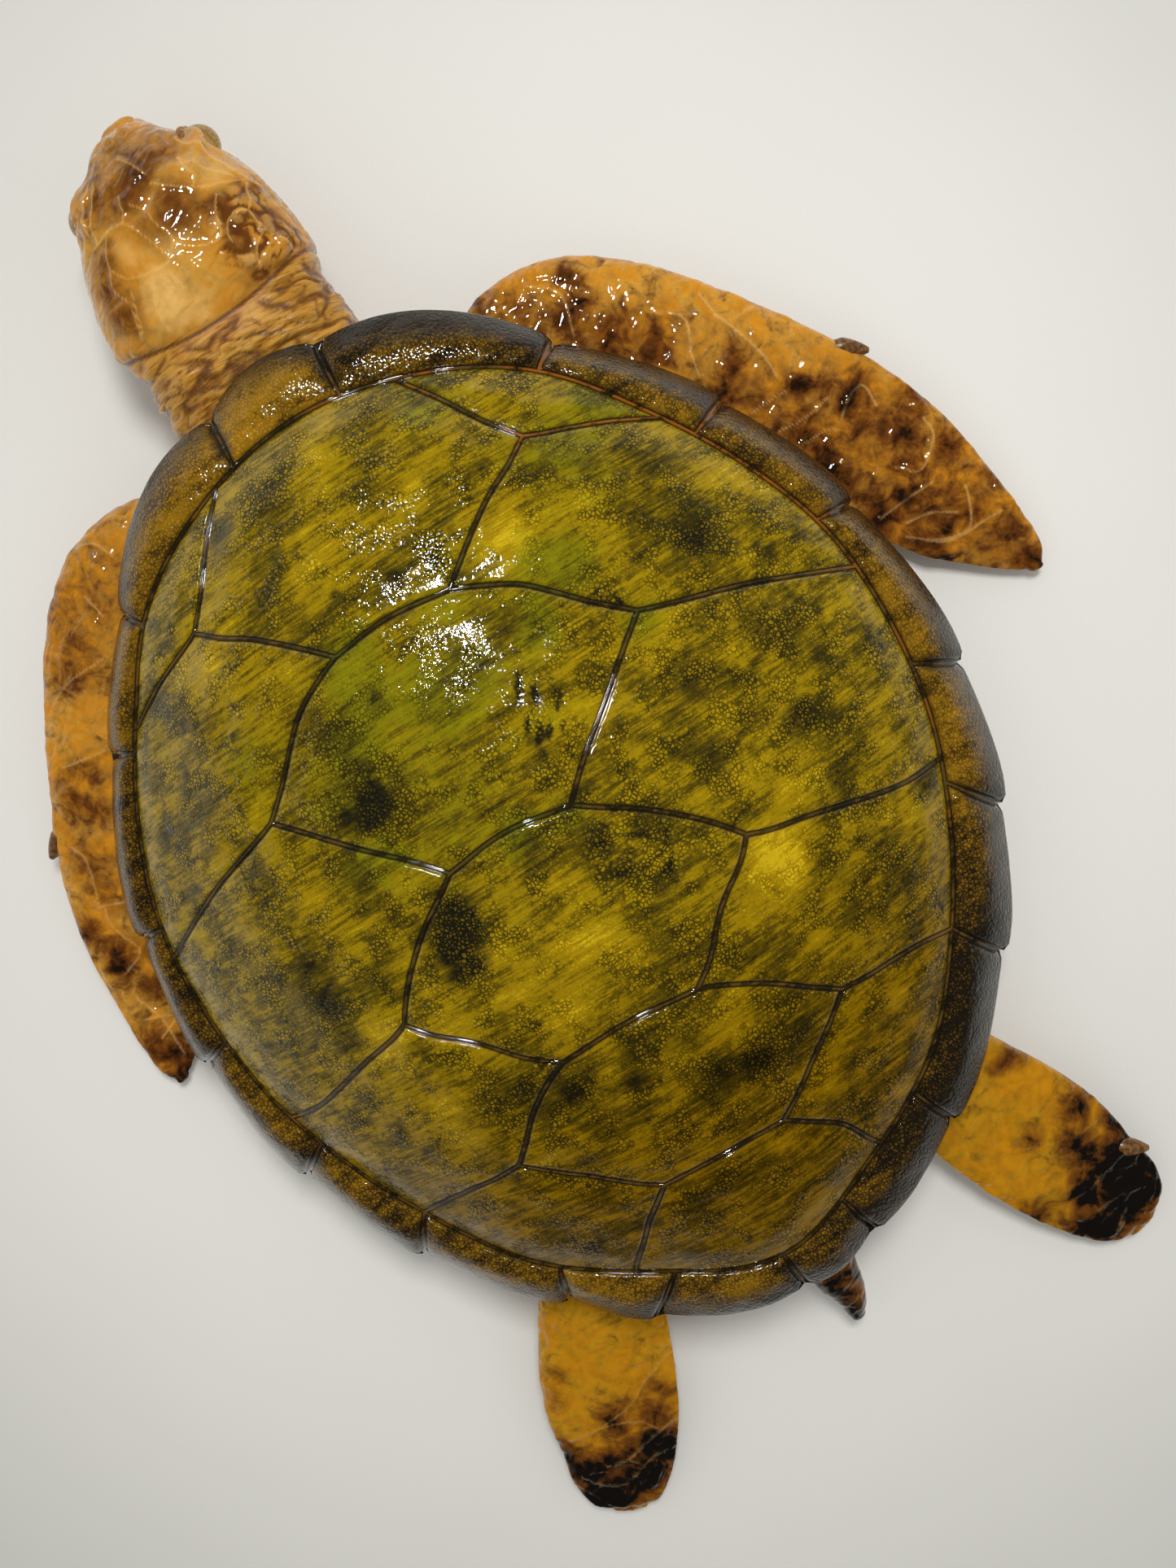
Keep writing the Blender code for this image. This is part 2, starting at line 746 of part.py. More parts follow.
def add_mouth(bm):
    """The line between the jaws, from one corner round the beak to the other."""
    side = []
    for (y, x, half, low, high), height in zip(HEAD_SECTIONS, MOUTH_HEIGHT):
        off_middle = abs(2 * height - low - high) / (high - low)
        width = half * (1 - off_middle**HEAD_SQUARENESS) ** (1 / HEAD_SQUARENESS)
        side.append((x, y, height, width))
    right = [Vector((x + width, y, z)) * MM for x, y, z, width in side]
    left = [Vector((x - width, y, z)) * MM for x, y, z, width in side]
    x, y, z, _ = side[0]
    path = [*reversed(left), Vector((x, y + 2, z)) * MM, *right]
    tube(bm, smooth_path(path, 8 * MM), 4, MOUTH_RADIUS, closed=False)


def add_ball(bm, place, radius):
    made = bmesh.ops.create_uvsphere(
        bm, u_segments=EYE_SEGMENTS, v_segments=EYE_SEGMENTS * 2 // 3, radius=radius
    )
    bmesh.ops.translate(bm, verts=made["verts"], vec=Vector(place) * MM)


def build_head(parts, cutters, material, belly):
    head = new_object(
        "head_and_neck", loft(body_rings(HEAD_SECTIONS, HEAD_SIDES, HEAD_SQUARENESS)), parts, material
    )
    add_subdivision(head, 1)
    lids = bmesh.new()
    add_eyelids(lids)
    add_boolean(head, new_object("eyelid_rings", lids, cutters), "UNION")
    sockets = bmesh.new()
    for place in EYE_PLACES.values():
        add_ball(sockets, place, EYE_RADIUS + 2 * GAP)
    add_boolean(head, new_object("eye_sockets", sockets, cutters), "DIFFERENCE")
    mouth = bmesh.new()
    add_mouth(mouth)
    add_boolean(head, new_object("mouth_line", mouth, cutters), "DIFFERENCE")
    add_boolean(head, belly, "DIFFERENCE")


def build_eyes(parts, material):
    for name, place in EYE_PLACES.items():
        bm = bmesh.new()
        add_ball(bm, place, EYE_RADIUS)
        new_object(name, bm, parts, material)


def claw(place, direction, cutters, name):
    bm = bmesh.new()
    bmesh.ops.create_cone(
        bm, cap_ends=True, segments=CLAW_SIDES, radius1=CLAW_RADIUS, radius2=CLAW_TIP_RADIUS,
        depth=CLAW_LENGTH
    )
    turn = Vector(direction).to_track_quat("Z", "Y").to_matrix().to_4x4()
    bmesh.ops.transform(bm, matrix=Matrix.Translation(Vector(place) * MM) @ turn, verts=bm.verts)
    return new_object(name, bm, cutters)


def posed(sections, pivot, turn, shift):
    """The sections turned about a pivot in the plan, then shifted."""
    spin = Matrix.Rotation(turn, 2)
    centre = Vector(pivot)
    result = []
    for lead_x, lead_y, trail_x, trail_y, height, thick in sections:
        lead = spin @ (Vector((lead_x, lead_y)) - centre) + centre + Vector(shift)
        trail = spin @ (Vector((trail_x, trail_y)) - centre) + centre + Vector(shift)
        result.append((*lead, *trail, height, thick))
    return result


def build_flipper(name, sections, side, claw_at, parts, cutters, material, belly):
    """A flipper from right-hand sections; side -1 mirrors it to the left."""
    rings = flipper_rings(sections)
    placed = [[Vector((side * p.x, p.y, p.z)) for p in ring] for ring in rings]
    flipper = new_object(name, loft(placed), parts, material)
    add_subdivision(flipper, 1)
    if claw_at:
        x, y, z = claw_at
        out, back, down = CLAW_DIRECTION
        cone = claw((side * x, y, z), (side * out, -back, -down), cutters, name + "_claw")
        add_boolean(flipper, cone, "UNION")
    add_boolean(flipper, belly, "DIFFERENCE")


def build_limbs(parts, cutters, material, belly):
    shared = (parts, cutters, material, belly)
    build_flipper("front_flipper_right", FRONT_SECTIONS, 1, FRONT_CLAW, *shared)
    tuck = (FRONT_PIVOT, -LEFT_TUCK, LEFT_TUCK_SHIFT)
    left = posed(FRONT_SECTIONS, *tuck)
    x, y, _, _, z, _ = posed([(*FRONT_CLAW[:2], 0, 0, FRONT_CLAW[2], 0)], *tuck)[0]
    build_flipper("front_flipper_left", left, -1, (x, y, z), *shared)
    build_flipper("hind_flipper_right", HIND_SECTIONS, 1, HIND_CLAW, *shared)
    left = posed(HIND_SECTIONS, (0, 0), 0, HIND_LEFT_SHIFT)
    build_flipper("hind_flipper_left", left, -1, None, *shared)
    tail = new_object("tail", loft(body_rings(TAIL_SECTIONS, TAIL_SIDES, 2.0)), parts, material)
    add_boolean(tail, belly, "DIFFERENCE")


def centre_over_origin(collections):
    """Moves everything so that the turtle's box stands centred on the origin."""
    bpy.context.view_layer.update()
    graph = bpy.context.evaluated_depsgraph_get()
    points = []
    for obj in collections[0].objects:
        mesh = obj.evaluated_get(graph).to_mesh()
        flat = np.empty(len(mesh.vertices) * 3)
        mesh.vertices.foreach_get("co", flat)
        points.append(flat.reshape(-1, 3))
        obj.evaluated_get(graph).to_mesh_clear()
    everything = np.concatenate(points)
    middle = (everything.min(axis=0) + everything.max(axis=0)) / 2
    shift = Matrix.Translation((-middle[0], -middle[1], 0))
    for collection in collections:
        for obj in collection.objects:
            obj.data.transform(shift)


def main():
    clear_scene()
    parts = new_collection("sea_turtle")
    cutters = new_collection("cutters", hidden=True)
    materials = {name: new_material(name) for name in COLOURS}
    belly = belly_cutter(cutters)
    build_carapace(parts, materials["shell"])
    build_plastron(parts, materials["belly_plate"])
    build_head(parts, cutters, materials["skin"], belly)
    build_eyes(parts, materials["eye_glass"])
    build_limbs(parts, cutters, materials["skin"], belly)
    centre_over_origin([parts, cutters])


main()
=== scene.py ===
"""The looks of a mounted sea turtle: shell, skin, claws, eyes and belly plate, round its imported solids.

Everything is drawn about the shell's own centre, as the solids are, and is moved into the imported
frame when it is finished. +Y runs towards the beak, +X to the turtle's right and +Z up. Tables of
places are in millimetres.
"""

import math
import random

import bmesh
import bpy
import numpy as np
from mathutils import Matrix, Vector, noise
from mathutils.kdtree import KDTree


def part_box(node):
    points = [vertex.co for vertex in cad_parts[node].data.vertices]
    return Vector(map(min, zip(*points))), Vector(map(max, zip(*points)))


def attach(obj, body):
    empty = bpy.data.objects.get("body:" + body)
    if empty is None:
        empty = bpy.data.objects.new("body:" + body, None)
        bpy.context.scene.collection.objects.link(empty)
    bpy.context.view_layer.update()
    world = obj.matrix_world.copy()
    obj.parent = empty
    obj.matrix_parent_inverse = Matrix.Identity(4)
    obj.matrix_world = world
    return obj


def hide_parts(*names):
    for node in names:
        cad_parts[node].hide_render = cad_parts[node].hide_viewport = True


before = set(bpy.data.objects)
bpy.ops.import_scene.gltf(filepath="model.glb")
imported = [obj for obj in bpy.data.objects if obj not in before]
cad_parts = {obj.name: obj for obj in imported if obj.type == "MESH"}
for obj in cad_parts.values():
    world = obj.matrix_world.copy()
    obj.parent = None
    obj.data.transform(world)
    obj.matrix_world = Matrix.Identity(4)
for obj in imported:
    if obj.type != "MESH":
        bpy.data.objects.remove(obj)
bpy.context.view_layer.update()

MM = 0.001

# The photograph's camera, about the shell's centre
CAMERA_PLACE = (0.1316, 0.0566, 0.8585)
CAMERA_RIGHT = (0.8623, -0.5005, -0.0777)
CAMERA_UP = (0.49, 0.8632, -0.1217)
CAMERA_HEIGHT_ANGLE = math.radians(50)
CAMERA_SENSOR = 24  # millimetres, along the picture's height

# Shell heights
GROOVE_HEIGHT = 75 * MM
RIM_SLOPE = 0.01
RIM_SAG = 0.3
DOME_RISE = 85 * MM
DOME_POWER = 1.9
DOME_ROUND = 0.93
LIP_DROP_SIDE = 23 * MM
LIP_DROP_FRONT = 12 * MM
LIP_DROP_REAR = 14 * MM
UNDERSIDE_HEIGHT = 60 * MM
UNDERSIDE_REACH = 0.93

# Shell relief
SEAM_SPACING = 4 * MM
SEAM_INSETS = (0.45, 0.45, 0.4, 0.5)  # millimetres, one after the other, from every seam
CORNER_ROOM = 1.25  # points nearer to a sharp corner than this share of the insets' reach go
SHELL_CELL = 1.5 * MM
PATH_STEP = 0.5 * MM  # between the points of a seam that distances are taken from
SEAM_AT = (0, 0.45, 0.9, 1.3, 1.8, 3, 5.5)  # millimetres from the middle of a seam
SEAM_HEIGHTS = (-0.1, -0.4, -1.35, -0.95, -0.1, 0.25, 0)
PILLOW_RISE = 1.4 * MM
PILLOW_REACH = 16 * MM
SWELL_END = 1.15  # where the scutes' swell has faded out, 1 being the groove
RIM_FADE = 0.125  # what changes from the dome to the rim does so over this share
UNDULATION = 0.5 * MM
# Small unevenness: how large it is, and how high on the dome and on the rim, in millimetres
UNEVENNESS = ((13, 0.16, 0.5), (5, 0.07, 0.2))
WRINKLE_SIZE = (16, 4.2)  # millimetres along and across
# How dark the painted shade in the valleys between the scutes' wrinkles gets
WRINKLE_SHADE = 0.6
SHADED_DEPTH = 0.25 * MM  # a wrinkle this deep has its full painted shade
MARGINAL_PUFF = 2.6 * MM
MARGINAL_STEP = 1.6 * MM
MARGINAL_ROUND = 4 * MM
EDGE_STEP = 2.2 * MM  # the rear corner of each rim scute stands out this far past the next one
NOTCH_DEPTH = 1.8 * MM
NOTCH_HALF_WIDTH = 2.6 * MM
# The rolled lip: how far in and down each ring lies from the one before
LIP_ROLL = ((-0.1, 0.9), (0.3, 1.0), (0.9, 0.9), (1.4, 0.5), (2.2, 0.1), (4, -0.2), (7, -0.3))

# Radius of the rim groove about the shell's centre, every 15 degrees from nape to tail
GROOVE_RADII = (216, 213, 208, 197, 192, 191, 189, 190, 193, 201, 214, 223, 236)
# Seams between rim scutes on the right (1) and left (-1), nape first: angle at the groove, angle
# at the edge, radius at the edge
RIM_SEAMS = {
    1: (
        (6.2, 5.4, 244),
        (30.8, 32.1, 224),
        (52.4, 53.7, 215),
        (72.6, 74.5, 210.5),
        (96.6, 99.3, 214),
        (113.9, 118, 221),
        (133.8, 135.8, 231.5),
        (155.1, 155.7, 246),
        (170.6, 170.3, 255),
        (180, 180, 258.5),
    ),
    -1: (
        (9.6, 9, 243),
        (33.1, 33.7, 225),
        (50.5, 52, 214),
        (76.5, 77.4, 212),
        (95.7, 96.8, 213.5),
        (116.3, 116.9, 220.5),
        (133.8, 134.9, 231),
        (152.9, 153.3, 241.5),
        (167.3, 163.2, 252.5),
        (180, 180, 258.5),
    ),
}
# How far the edge of each rim scute bulges past a line between its seams, nuchal first, and how
# far to the rear it bulges most: halfway for 1, further for more
SCALLOPS = (
    (7, 1), (8.5, 0.8), (1, 2.2), (1.5, 2.2), (1.5, 2.5),
    (1.5, 2.2), (1.5, 2.2), (2, 2), (2.5, 1.6), (5, 1.2),
)

# Where seams meet on the right half: by place, and by angle where they end at the groove
NODES = {
    "A": (87, 154),
    "B": (29, 110),
    "C": (94, 62),
    "D": (30, 5),
    "E": (87, -45),
    "F": (34, -93),
    "G": (84, -130),
    "H": (31, -170),
}
GROOVE_NODES = {"J": 13, "K": 47.5, "L": 81, "M": 110.5, "N": 133.8, "I": 162.5}
# Right-half seams: start, points between, end
SEAMS = (
    ("J", ((62, 189), (75, 169)), "A"),
    ("A", ((75, 145), (63, 138), (51, 129), (39, 119)), "B"),
    ("A", ((95, 151), (108, 147), (125, 141)), "K"),
    ("B", ((41, 105), (56, 97), (67, 87), (80, 74)), "C"),
    ("C", ((103, 59), (117, 55), (138, 49), (162, 40)), "L"),
    ("C", ((80, 50), (62, 34), (43, 18)), "D"),
    ("D", ((40, -2), (55, -12), (71, -26), (81, -37)), "E"),
    ("E", ((97, -49), (117, -54), (143, -62), (160, -66)), "M"),
    ("E", ((79, -54), (62, -67), (46, -84)), "F"),
    ("F", ((43, -97), (60, -108), (74, -121)), "G"),
    ("G", ((98, -132), (112, -133), (128, -135)), "N"),
    ("G", ((72, -140), (57, -151), (42, -163)), "H"),
    ("H", ((40, -178), (50, -187), (58, -198)), "I"),
)
CROSS_SEAMS = (("B", 3), ("D", 4), ("F", 3), ("H", 1))
REAR_SWAY = 5 * MM
SWAY_FROM = -60 * MM
SWAY_TO = -150 * MM

SPOT_SPREAD = 1.35  # a soft spot is down to about a third this far out, 1 being its reach

# Where the shell's colour changes: place, reach, strength
DARK_SPOTS = (
    (72, 162, 6, 0.5), (18, 162, 9, 0.55), (30, 146, 7, 0.5), (34, 202, 9, 0.35), (-14, 131, 7, 0.75),
    (10, 127, 7, 0.75), (31, 125, 7, 0.75), (-27, 186, 11, 0.65), (-16, 201, 9, 0.5), (0, 214, 8, 0.4),
    (-43, 166, 8, 0.5), (81, 137, 7, 0.6), (106, 129, 7, 0.5), (115, 106, 12, 0.5), (130, 80, 13, 0.85),
    (121, 71, 8, 0.6), (154, 82, 7, 0.5), (67, 104, 4, 0.4), (89, 71, 4, 0.7), (136, 29, 13, 0.65),
    (119, 45, 6, 0.6), (144, 21, 10, 0.6), (100, 22, 11, 0.75), (94, -11, 10, 0.75), (116, -1, 9, 0.6),
    (132, -16, 11, 0.9), (135, -42, 9, 0.65), (103, -36, 5, 0.5), (119, -60, 5, 0.65), (178, -3, 6, 0.6),
    (169, -73, 5, 0.65), (137, -95, 10, 0.55), (111, -105, 10, 0.55), (56, -87, 5, 0.55), (-22, 86, 8, 0.8),
    (41, 55, 9, 0.5), (-46, 82, 8, 0.6), (-42, 61, 8, 0.8), (-46, 45, 10, 1.1), (-57, 49, 7, 0.85),
    (-27, 53, 6, 0.65), (30, 35, 8, 0.6), (26, 19, 4, 0.5), (33, -12, 9, 0.75), (35, -31, 10, 0.65),
    (53, -19, 9, 0.65), (46, -44, 9, 0.6), (-36, -12, 9, 1.1), (-47, -24, 9, 1.1), (-41, -35, 8, 0.9),
    (-50, -35, 7, 0.9), (-63, -29, 4, 0.65), (38, -72, 8, 0.6), (31, -50, 6, 0.5), (-48, -65, 5, 0.45),
    (-41, 0, 5, 0.6), (-56, -5, 5, 0.6), (-76, -10, 6, 0.65), (-113, -1, 9, 0.7), (-117, -23, 10, 0.8),
    (-85, -27, 7, 0.65), (-69, 31, 6, 0.5), (-130, -2, 6, 0.6), (-155, 3, 6, 0.5), (-114, 50, 7, 0.55),
    (-117, 131, 8, 0.5), (-108, 109, 6, 0.5), (-150, 84, 4, 0.6), (-144, -109, 7, 0.6), (-35, -105, 9, 0.85),
    (-11, -115, 6, 0.8), (-4, -96, 5, 0.7), (-54, -94, 8, 0.8), (-77, -90, 6, 0.6), (-65, -98, 5, 0.6),
    (40, -137, 10, 0.95), (25, -133, 9, 0.85), (15, -141, 6, 0.7), (64, -137, 7, 0.65), (69, -188, 8, 0.6),
    (101, -178, 4, 0.6), (-3, -153, 5, 0.55), (19, -185, 6, 0.6), (-52, -140, 5, 0.6), (-97, -149, 5, 0.6),
    (-77, -144, 4, 0.6), (-76, -188, 8, 0.8), (19, -106, 12, 0.6), (-110, -110, 9, 0.4), (-20, -195, 10, 0.5),
    (48, -10, 14, 0.4), (151, 8, 8, 0.4), (114, -86, 12, 0.5), (-41, -19, 12, 1.3), (-7, -30, 12, 0.3),
)
GREEN_SPOTS = (
    (-24, 104, 12, 0.9), (-24, 90, 14, 1), (-38, 73, 11, 1), (55, 81, 10, 0.8), (74, 95, 13, 0.7),
    (123, 151, 12, 0.7), (56, 193, 12, 0.5), (7, 6, 9, 0.8), (-63, 24, 13, 0.6), (94, 58, 8, 0.6),
    (-45, 60, 30, 0.5), (30, 90, 30, 0.4), (100, 140, 22, 0.5), (-15, 30, 30, 0.4), (0, 75, 22, 0.6),
    (6, 62, 13, 0.6), (-49, 25, 9, 0.6), (28, 2, 7, 0.7), (-90, 90, 16, 0.35), (20, 75, 16, 0.6),
)
GOLD_SPOTS = (
    (63, 119, 14, 1), (96, 115, 10, 0.6), (36, 161, 10, 0.5), (159, 91, 10, 0.7), (99, 49, 9, 0.6),
    (6, 187, 11, 0.6), (95, -64, 13, 1.3), (97, -22, 8, 0.6), (124, 26, 8, 0.5), (-35, -49, 15, 0.8),
    (-2, -50, 14, 0.8), (-63, -52, 11, 0.8), (-80, 137, 10, 0.7), (-98, -48, 10, 0.7),
    (96, 170, 12, 0.5), (117, -36, 11, 0.7), (-54, 75, 9, 0.3), (4, 159, 13, 0.7), (-22, 150, 9, 0.5),
    (-94, -84, 13, 0.6), (40, -116, 8, 0.3),
    (12, -25, 8, 0.5), (-12, -68, 12, 0.8), (-90, 20, 14, 0.3), (-60, 110, 12, 0.2), (-23, 90, 12, 1),
)
WARM_SPOTS = (
    (60, 201, 14, 0.7), (87, 154, 12, 0.7), (104, 170, 18, 1), (130, 145, 18, 1), (152, 118, 18, 1),
    (168, 90, 16, 0.9), (180, 60, 16, 0.7), (188, 30, 16, 0.6), (190, -10, 14, 0.6), (188, -45, 14, 0.6),
    (-66, 198, 12, 0.6), (-120, 155, 16, 0.5), (-180, 60, 14, 0.5), (-190, 0, 14, 0.4), (-175, -75, 18, 0.5),
    (-140, -140, 18, 0.4), (14, 212, 12, 0.6), (168, -95, 14, 0.6), (140, -140, 14, 0.5), (34, 80, 9, 0.4),
)
# How light the rim is: angle in degrees from the nape, and tone
RIM_TONES = (
    (-180, 0.4), (-160, 0.5), (-125, 0.4), (-90, 0.3), (-60, 0.35), (-42, 0.5), (-30, 0.62), (-12, 0.66),
    (-8, 0.8), (5, 0.72), (8, 0.28), (28, 0.35), (45, 0.42), (75, 0.48), (85, 0.54), (108, 0.56),
    (120, 0.36), (130, 0.2), (138, -0.06), (160, 0.12), (175, 0.3), (180, 0.4),
)
# Wrinkled places: place, reach, the way the wrinkles run in degrees from +X, height
WRINKLES = (
    (36, 48, 14, 60, 0.8),
    (40, 22, 12, 70, 0.4),
    (84, 84, 16, -62, 0.4),
    (36, -20, 14, -30, 0.35),
    (58, -36, 12, 50, 0.35),
    (-112, -8, 14, 20, 0.3),
)
# Pits: place, size, depth
PITS = (
    (1, -66, 3.2, 0.8), (-24, -74, 2.2, 0.7), (84, 8, 2.2, 0.7), (165, -49, 1.6, 0.8), (-150, 84, 2.4, 0.8),
)

# Head and neck: station along Y, middle X, half width, underside and top heights
HEAD_SECTIONS = (
    (385, -12, 9, 35, 46),
    (381, -13, 15, 29, 54),
    (374, -13, 21, 24, 61),
    (365, -13, 29, 19, 68),
    (353, -13, 38.5, 16, 75),
    (336, -12, 46, 13, 81),
    (319, -12, 51, 12, 85),
    (301, -12, 54, 12, 87),
    (288, -12, 54.5, 13, 84),
    (276, -11, 50, 15, 78),
    (262, -10, 51, 13, 76),
    (245, -9, 52, 11, 70),
    (222, -5, 52, 10, 62),
    (195, -2, 52, 9, 57),
    (160, 0, 50, 9, 54),
)
HEAD_MIDDLE = -13  # the skull's own middle, across
HEAD_SQUARENESS = 2.35
HEAD_STEP = 1.05  # millimetres between rings
HEAD_SIDES = 250
EYE_RADIUS = 10.5 * MM
EYE_OPENING = 0.55  # the lids leave this share of its height bare
EYE_PLACES = {"left_eye": (-43.5, 353, 53), "right_eye": (19.5, 354, 53)}
EYE_LOOK = (0.9, 0.25, -0.55)  # outwards, forwards and up
BROWS = {"left_eye": (0, 3.8), "right_eye": (1.5, 5.6)}  # how far past the eye, and how high
BROW_HALF_WIDTH = 3.6
LID_FOLDS = ((-5.6, 1.8, 1.2), (-10, 1.6, 0.8))  # how far past the eye, half width, height
EYELID_TILT = math.radians(74)
EYELID_LEAN = math.radians(-14)
EYELID_RING = 10.2 * MM
EYELID_THICK = 2.4 * MM
EYELID_STEPS = 64
# The lid's hollow value gives it a share of painted crease shade all over
EYELID_LOOKS = {"stain_and_shade": 0.5, "pale": 0, "crease": 0, "neck": 0, "hollow": 0.3}
NOSTRILS = ((-16, 375), (-8, 376))
NOSTRIL_RADIUS = 2.8
MOUTH_END = 316  # the corner of the mouth, along Y
MOUTH_HEIGHT = (39, 36, 33, 31, 31, 32, 33)  # at the first of the head's stations
SKULL_END = 275  # the crease between skull and neck, which curves forwards at the sides
SKULL_BEND = 0.0038

# Raised lines between the scales on top of the head
HEAD_LINES = (
    (
        (-34, 335), (-25, 333), (-20, 325), (-16, 316), (-14, 306),
        (-26, 307), (-36, 311), (-41, 320), (-39, 327), (-34, 335),
    ),
    ((-18, 339), (-13, 333), (-11, 324), (-8, 318), (-8, 313), (-14, 306)),
    ((-21, 346), (-23, 337), (-25, 333)),
    ((-5, 343), (8, 333), (17, 328), (31, 326), (36, 321)),
    ((11, 348), (12, 341), (14, 335), (11, 331)),
    ((13, 344), (21, 335), (29, 329)),
    ((19, 323), (15, 315), (13, 306), (9, 303), (-2, 307), (-8, 313)),
    ((32, 323), (30, 314), (27, 310), (19, 310), (15, 303), (16, 298)),
    ((28, 309), (30, 299), (35, 288), (37, 282)),
    ((30, 299), (23, 293), (19, 284)),
    ((-16, 301), (-15, 293)),
    ((-26, 301), (-31, 292), (-32, 282)),
    ((-37, 305), (-41, 293), (-43, 288)),
    ((-41, 320), (-45, 311), (-41, 302), (-42, 296), (-45, 286)),
    ((-34, 335), (-39, 333), (-45, 332)),
    ((-15, 364), (-10, 358), (-5, 348)),
    ((-32, 362), (-39, 352), (-42, 339)),
    ((-30, 359), (-37, 346), (-41, 334)),
    ((13, 358), (18, 349), (25, 340), (32, 328), (36, 321)),
)
HEAD_DARK = (
    (-12, 352, 9, 0.9), (-17, 347, 8, 0.9), (-24, 348, 7, 0.7), (-33, 348, 6, 0.6), (1, 327, 10, 0.85),
    (-4, 324, 9, 0.7), (10, 320, 7, 0.6), (-14, 326, 7, 0.5), (-36, 331, 4, 0.5), (-43, 323, 6, 0.7),
    (-46, 296, 6, 0.8), (-45, 304, 5, 0.6), (17, 321, 5, 0.8), (17, 302, 5, 0.5), (19, 299, 4, 0.5),
    (18, 287, 5, 0.4), (13, 285, 5, 0.3), (25, 283, 5, 0.4), (25, 271, 6, 0.8), (28, 273, 5, 0.8),
    (33, 265, 9, 1), (41, 262, 11, 1.1), (24, 261, 6, 0.8), (23, 307, 4, 0.6), (29, 282, 4, 0.7),
    (0, 356, 8, 0.7), (7, 355, 6, 0.7), (9, 350, 4, 0.6), (-46, 258, 9, 0.8),
    (-52, 250, 10, 0.8), (-54, 270, 6, 0.6), (32, 317, 8, 0.25), (33, 306, 8, 0.25), (31, 284, 7, 0.2),
    (-48, 312, 7, 0.8), (44, 240, 12, 0.9), (-14, 366, 14, 0.4), (-27, 362, 10, 0.45), (6, 366, 9, 0.4),
)
HEAD_PALE = (
    (13, 340, 8, 0.7), (20, 334, 9, 0.7), (-8, 313, 8, 0.7), (-22, 304, 8, 0.7), (-24, 294, 12, 1),
    (-32, 292, 10, 0.7), (23, 311, 6, 0.8), (21, 290, 6, 0.8),
    (13, 309, 5, 0.7), (-30, 320, 9, 0.6), (2, 268, 9, 0.6), (-15, 285, 11, 0.7), (-13, 388, 5, 0.5),
)

# Where the skull's wrinkles are deep and where there are hardly any: place, reach, strength
HEAD_ROUGH = (
    (24, 308, 13, 1), (32, 292, 12, 1), (16, 298, 9, 0.9), (36, 320, 10, 0.8), (22, 280, 10, 0.8),
    (-44, 345, 8, 0.8), (-44, 300, 7, 0.6), (-15, 345, 10, 0.4), (0, 330, 10, 0.35), (5, 280, 9, 0.4),
    (-38, 285, 7, 0.5), (10, 352, 8, 0.4),
)
HEAD_SMOOTH = ((-22, 296, 12, 0.8), (14, 338, 8, 0.6), (-25, 315, 8, 0.5))

# Right front flipper: leading edge, trailing edge, middle height, thickness
FRONT_SECTIONS = (
    (66, 205, 70, 110, 33, 26),
    (94, 230, 98, 118, 33, 28),
    (137, 229, 126, 122, 32, 26),
    (174, 204, 152, 112, 30, 23),
    (204, 170, 172, 92, 27, 19),
    (229.5, 136, 190, 68, 23, 16),
    (249.5, 104.5, 203, 45, 19, 14),
    (263.5, 71, 214, 27, 16, 12),
    (271, 37, 226, 13, 13, 10),
    (275, 10, 240, 1, 11, 8),
    (276, -7, 254, -10, 9.5, 6.5),
    (272, -16, 264, -16, 9, 4),
)
FRONT_CLAW = (241, 119.5, 20)
FRONT_PIVOT = (110, 190)
LEFT_TUCK = math.radians(6.8)
LEFT_TUCK_SHIFT = (2, 4)
HIND_SECTIONS = (
    (112, -160, 52, -192, 31, 24),
    (126, -190, 72, -222, 30, 24),
    (143, -219, 82, -248, 27, 21),
    (158, -245, 92, -273, 23, 17),
    (168, -271, 104, -298, 19, 14),
    (172, -294, 118, -319, 15, 11),
    (176, -312, 129, -332, 12, 9),
    (173, -327, 140, -340, 10, 7),
    (166, -334, 148, -341, 9, 4),
)
HIND_CLAW = (171, -298, 15)
HIND_LEFT_SHIFT = (-2, -13)
CLAW_RADIUS = 5.4 * MM
CLAW_LENGTH = 15 * MM
CLAW_DIRECTION = (0.83, 0.56, 0.1)  # outwards, backwards and down
CLAW_ROOT = 7 * MM  # how far it reaches back into the flipper
CLAW_STEPS = 16
FLIPPER_STEP = 1.15  # millimetres between rings
FLIPPER_SIDES = 160
TAIL_SECTIONS = (
    (-196, 3, 20, 20, 52),
    (-235, 5, 18, 19, 52),
    (-262, 8, 14, 17, 43),
    (-283, 8, 12, 15, 35),
    (-299, 8, 8, 13, 27),
    (-310, 6, 4, 12, 20),
)
TAIL_STEP = 1.2
TAIL_SIDES = 90
# How large the scales are, and the seed of their places
LIMB_SCALES = {
    "front_flipper_right": (24 * MM, 3),
    "front_flipper_left": (24 * MM, 5),
    "hind_flipper_right": (20 * MM, 7),
    "hind_flipper_left": (20 * MM, 9),
    "tail": (12 * MM, 13),
}

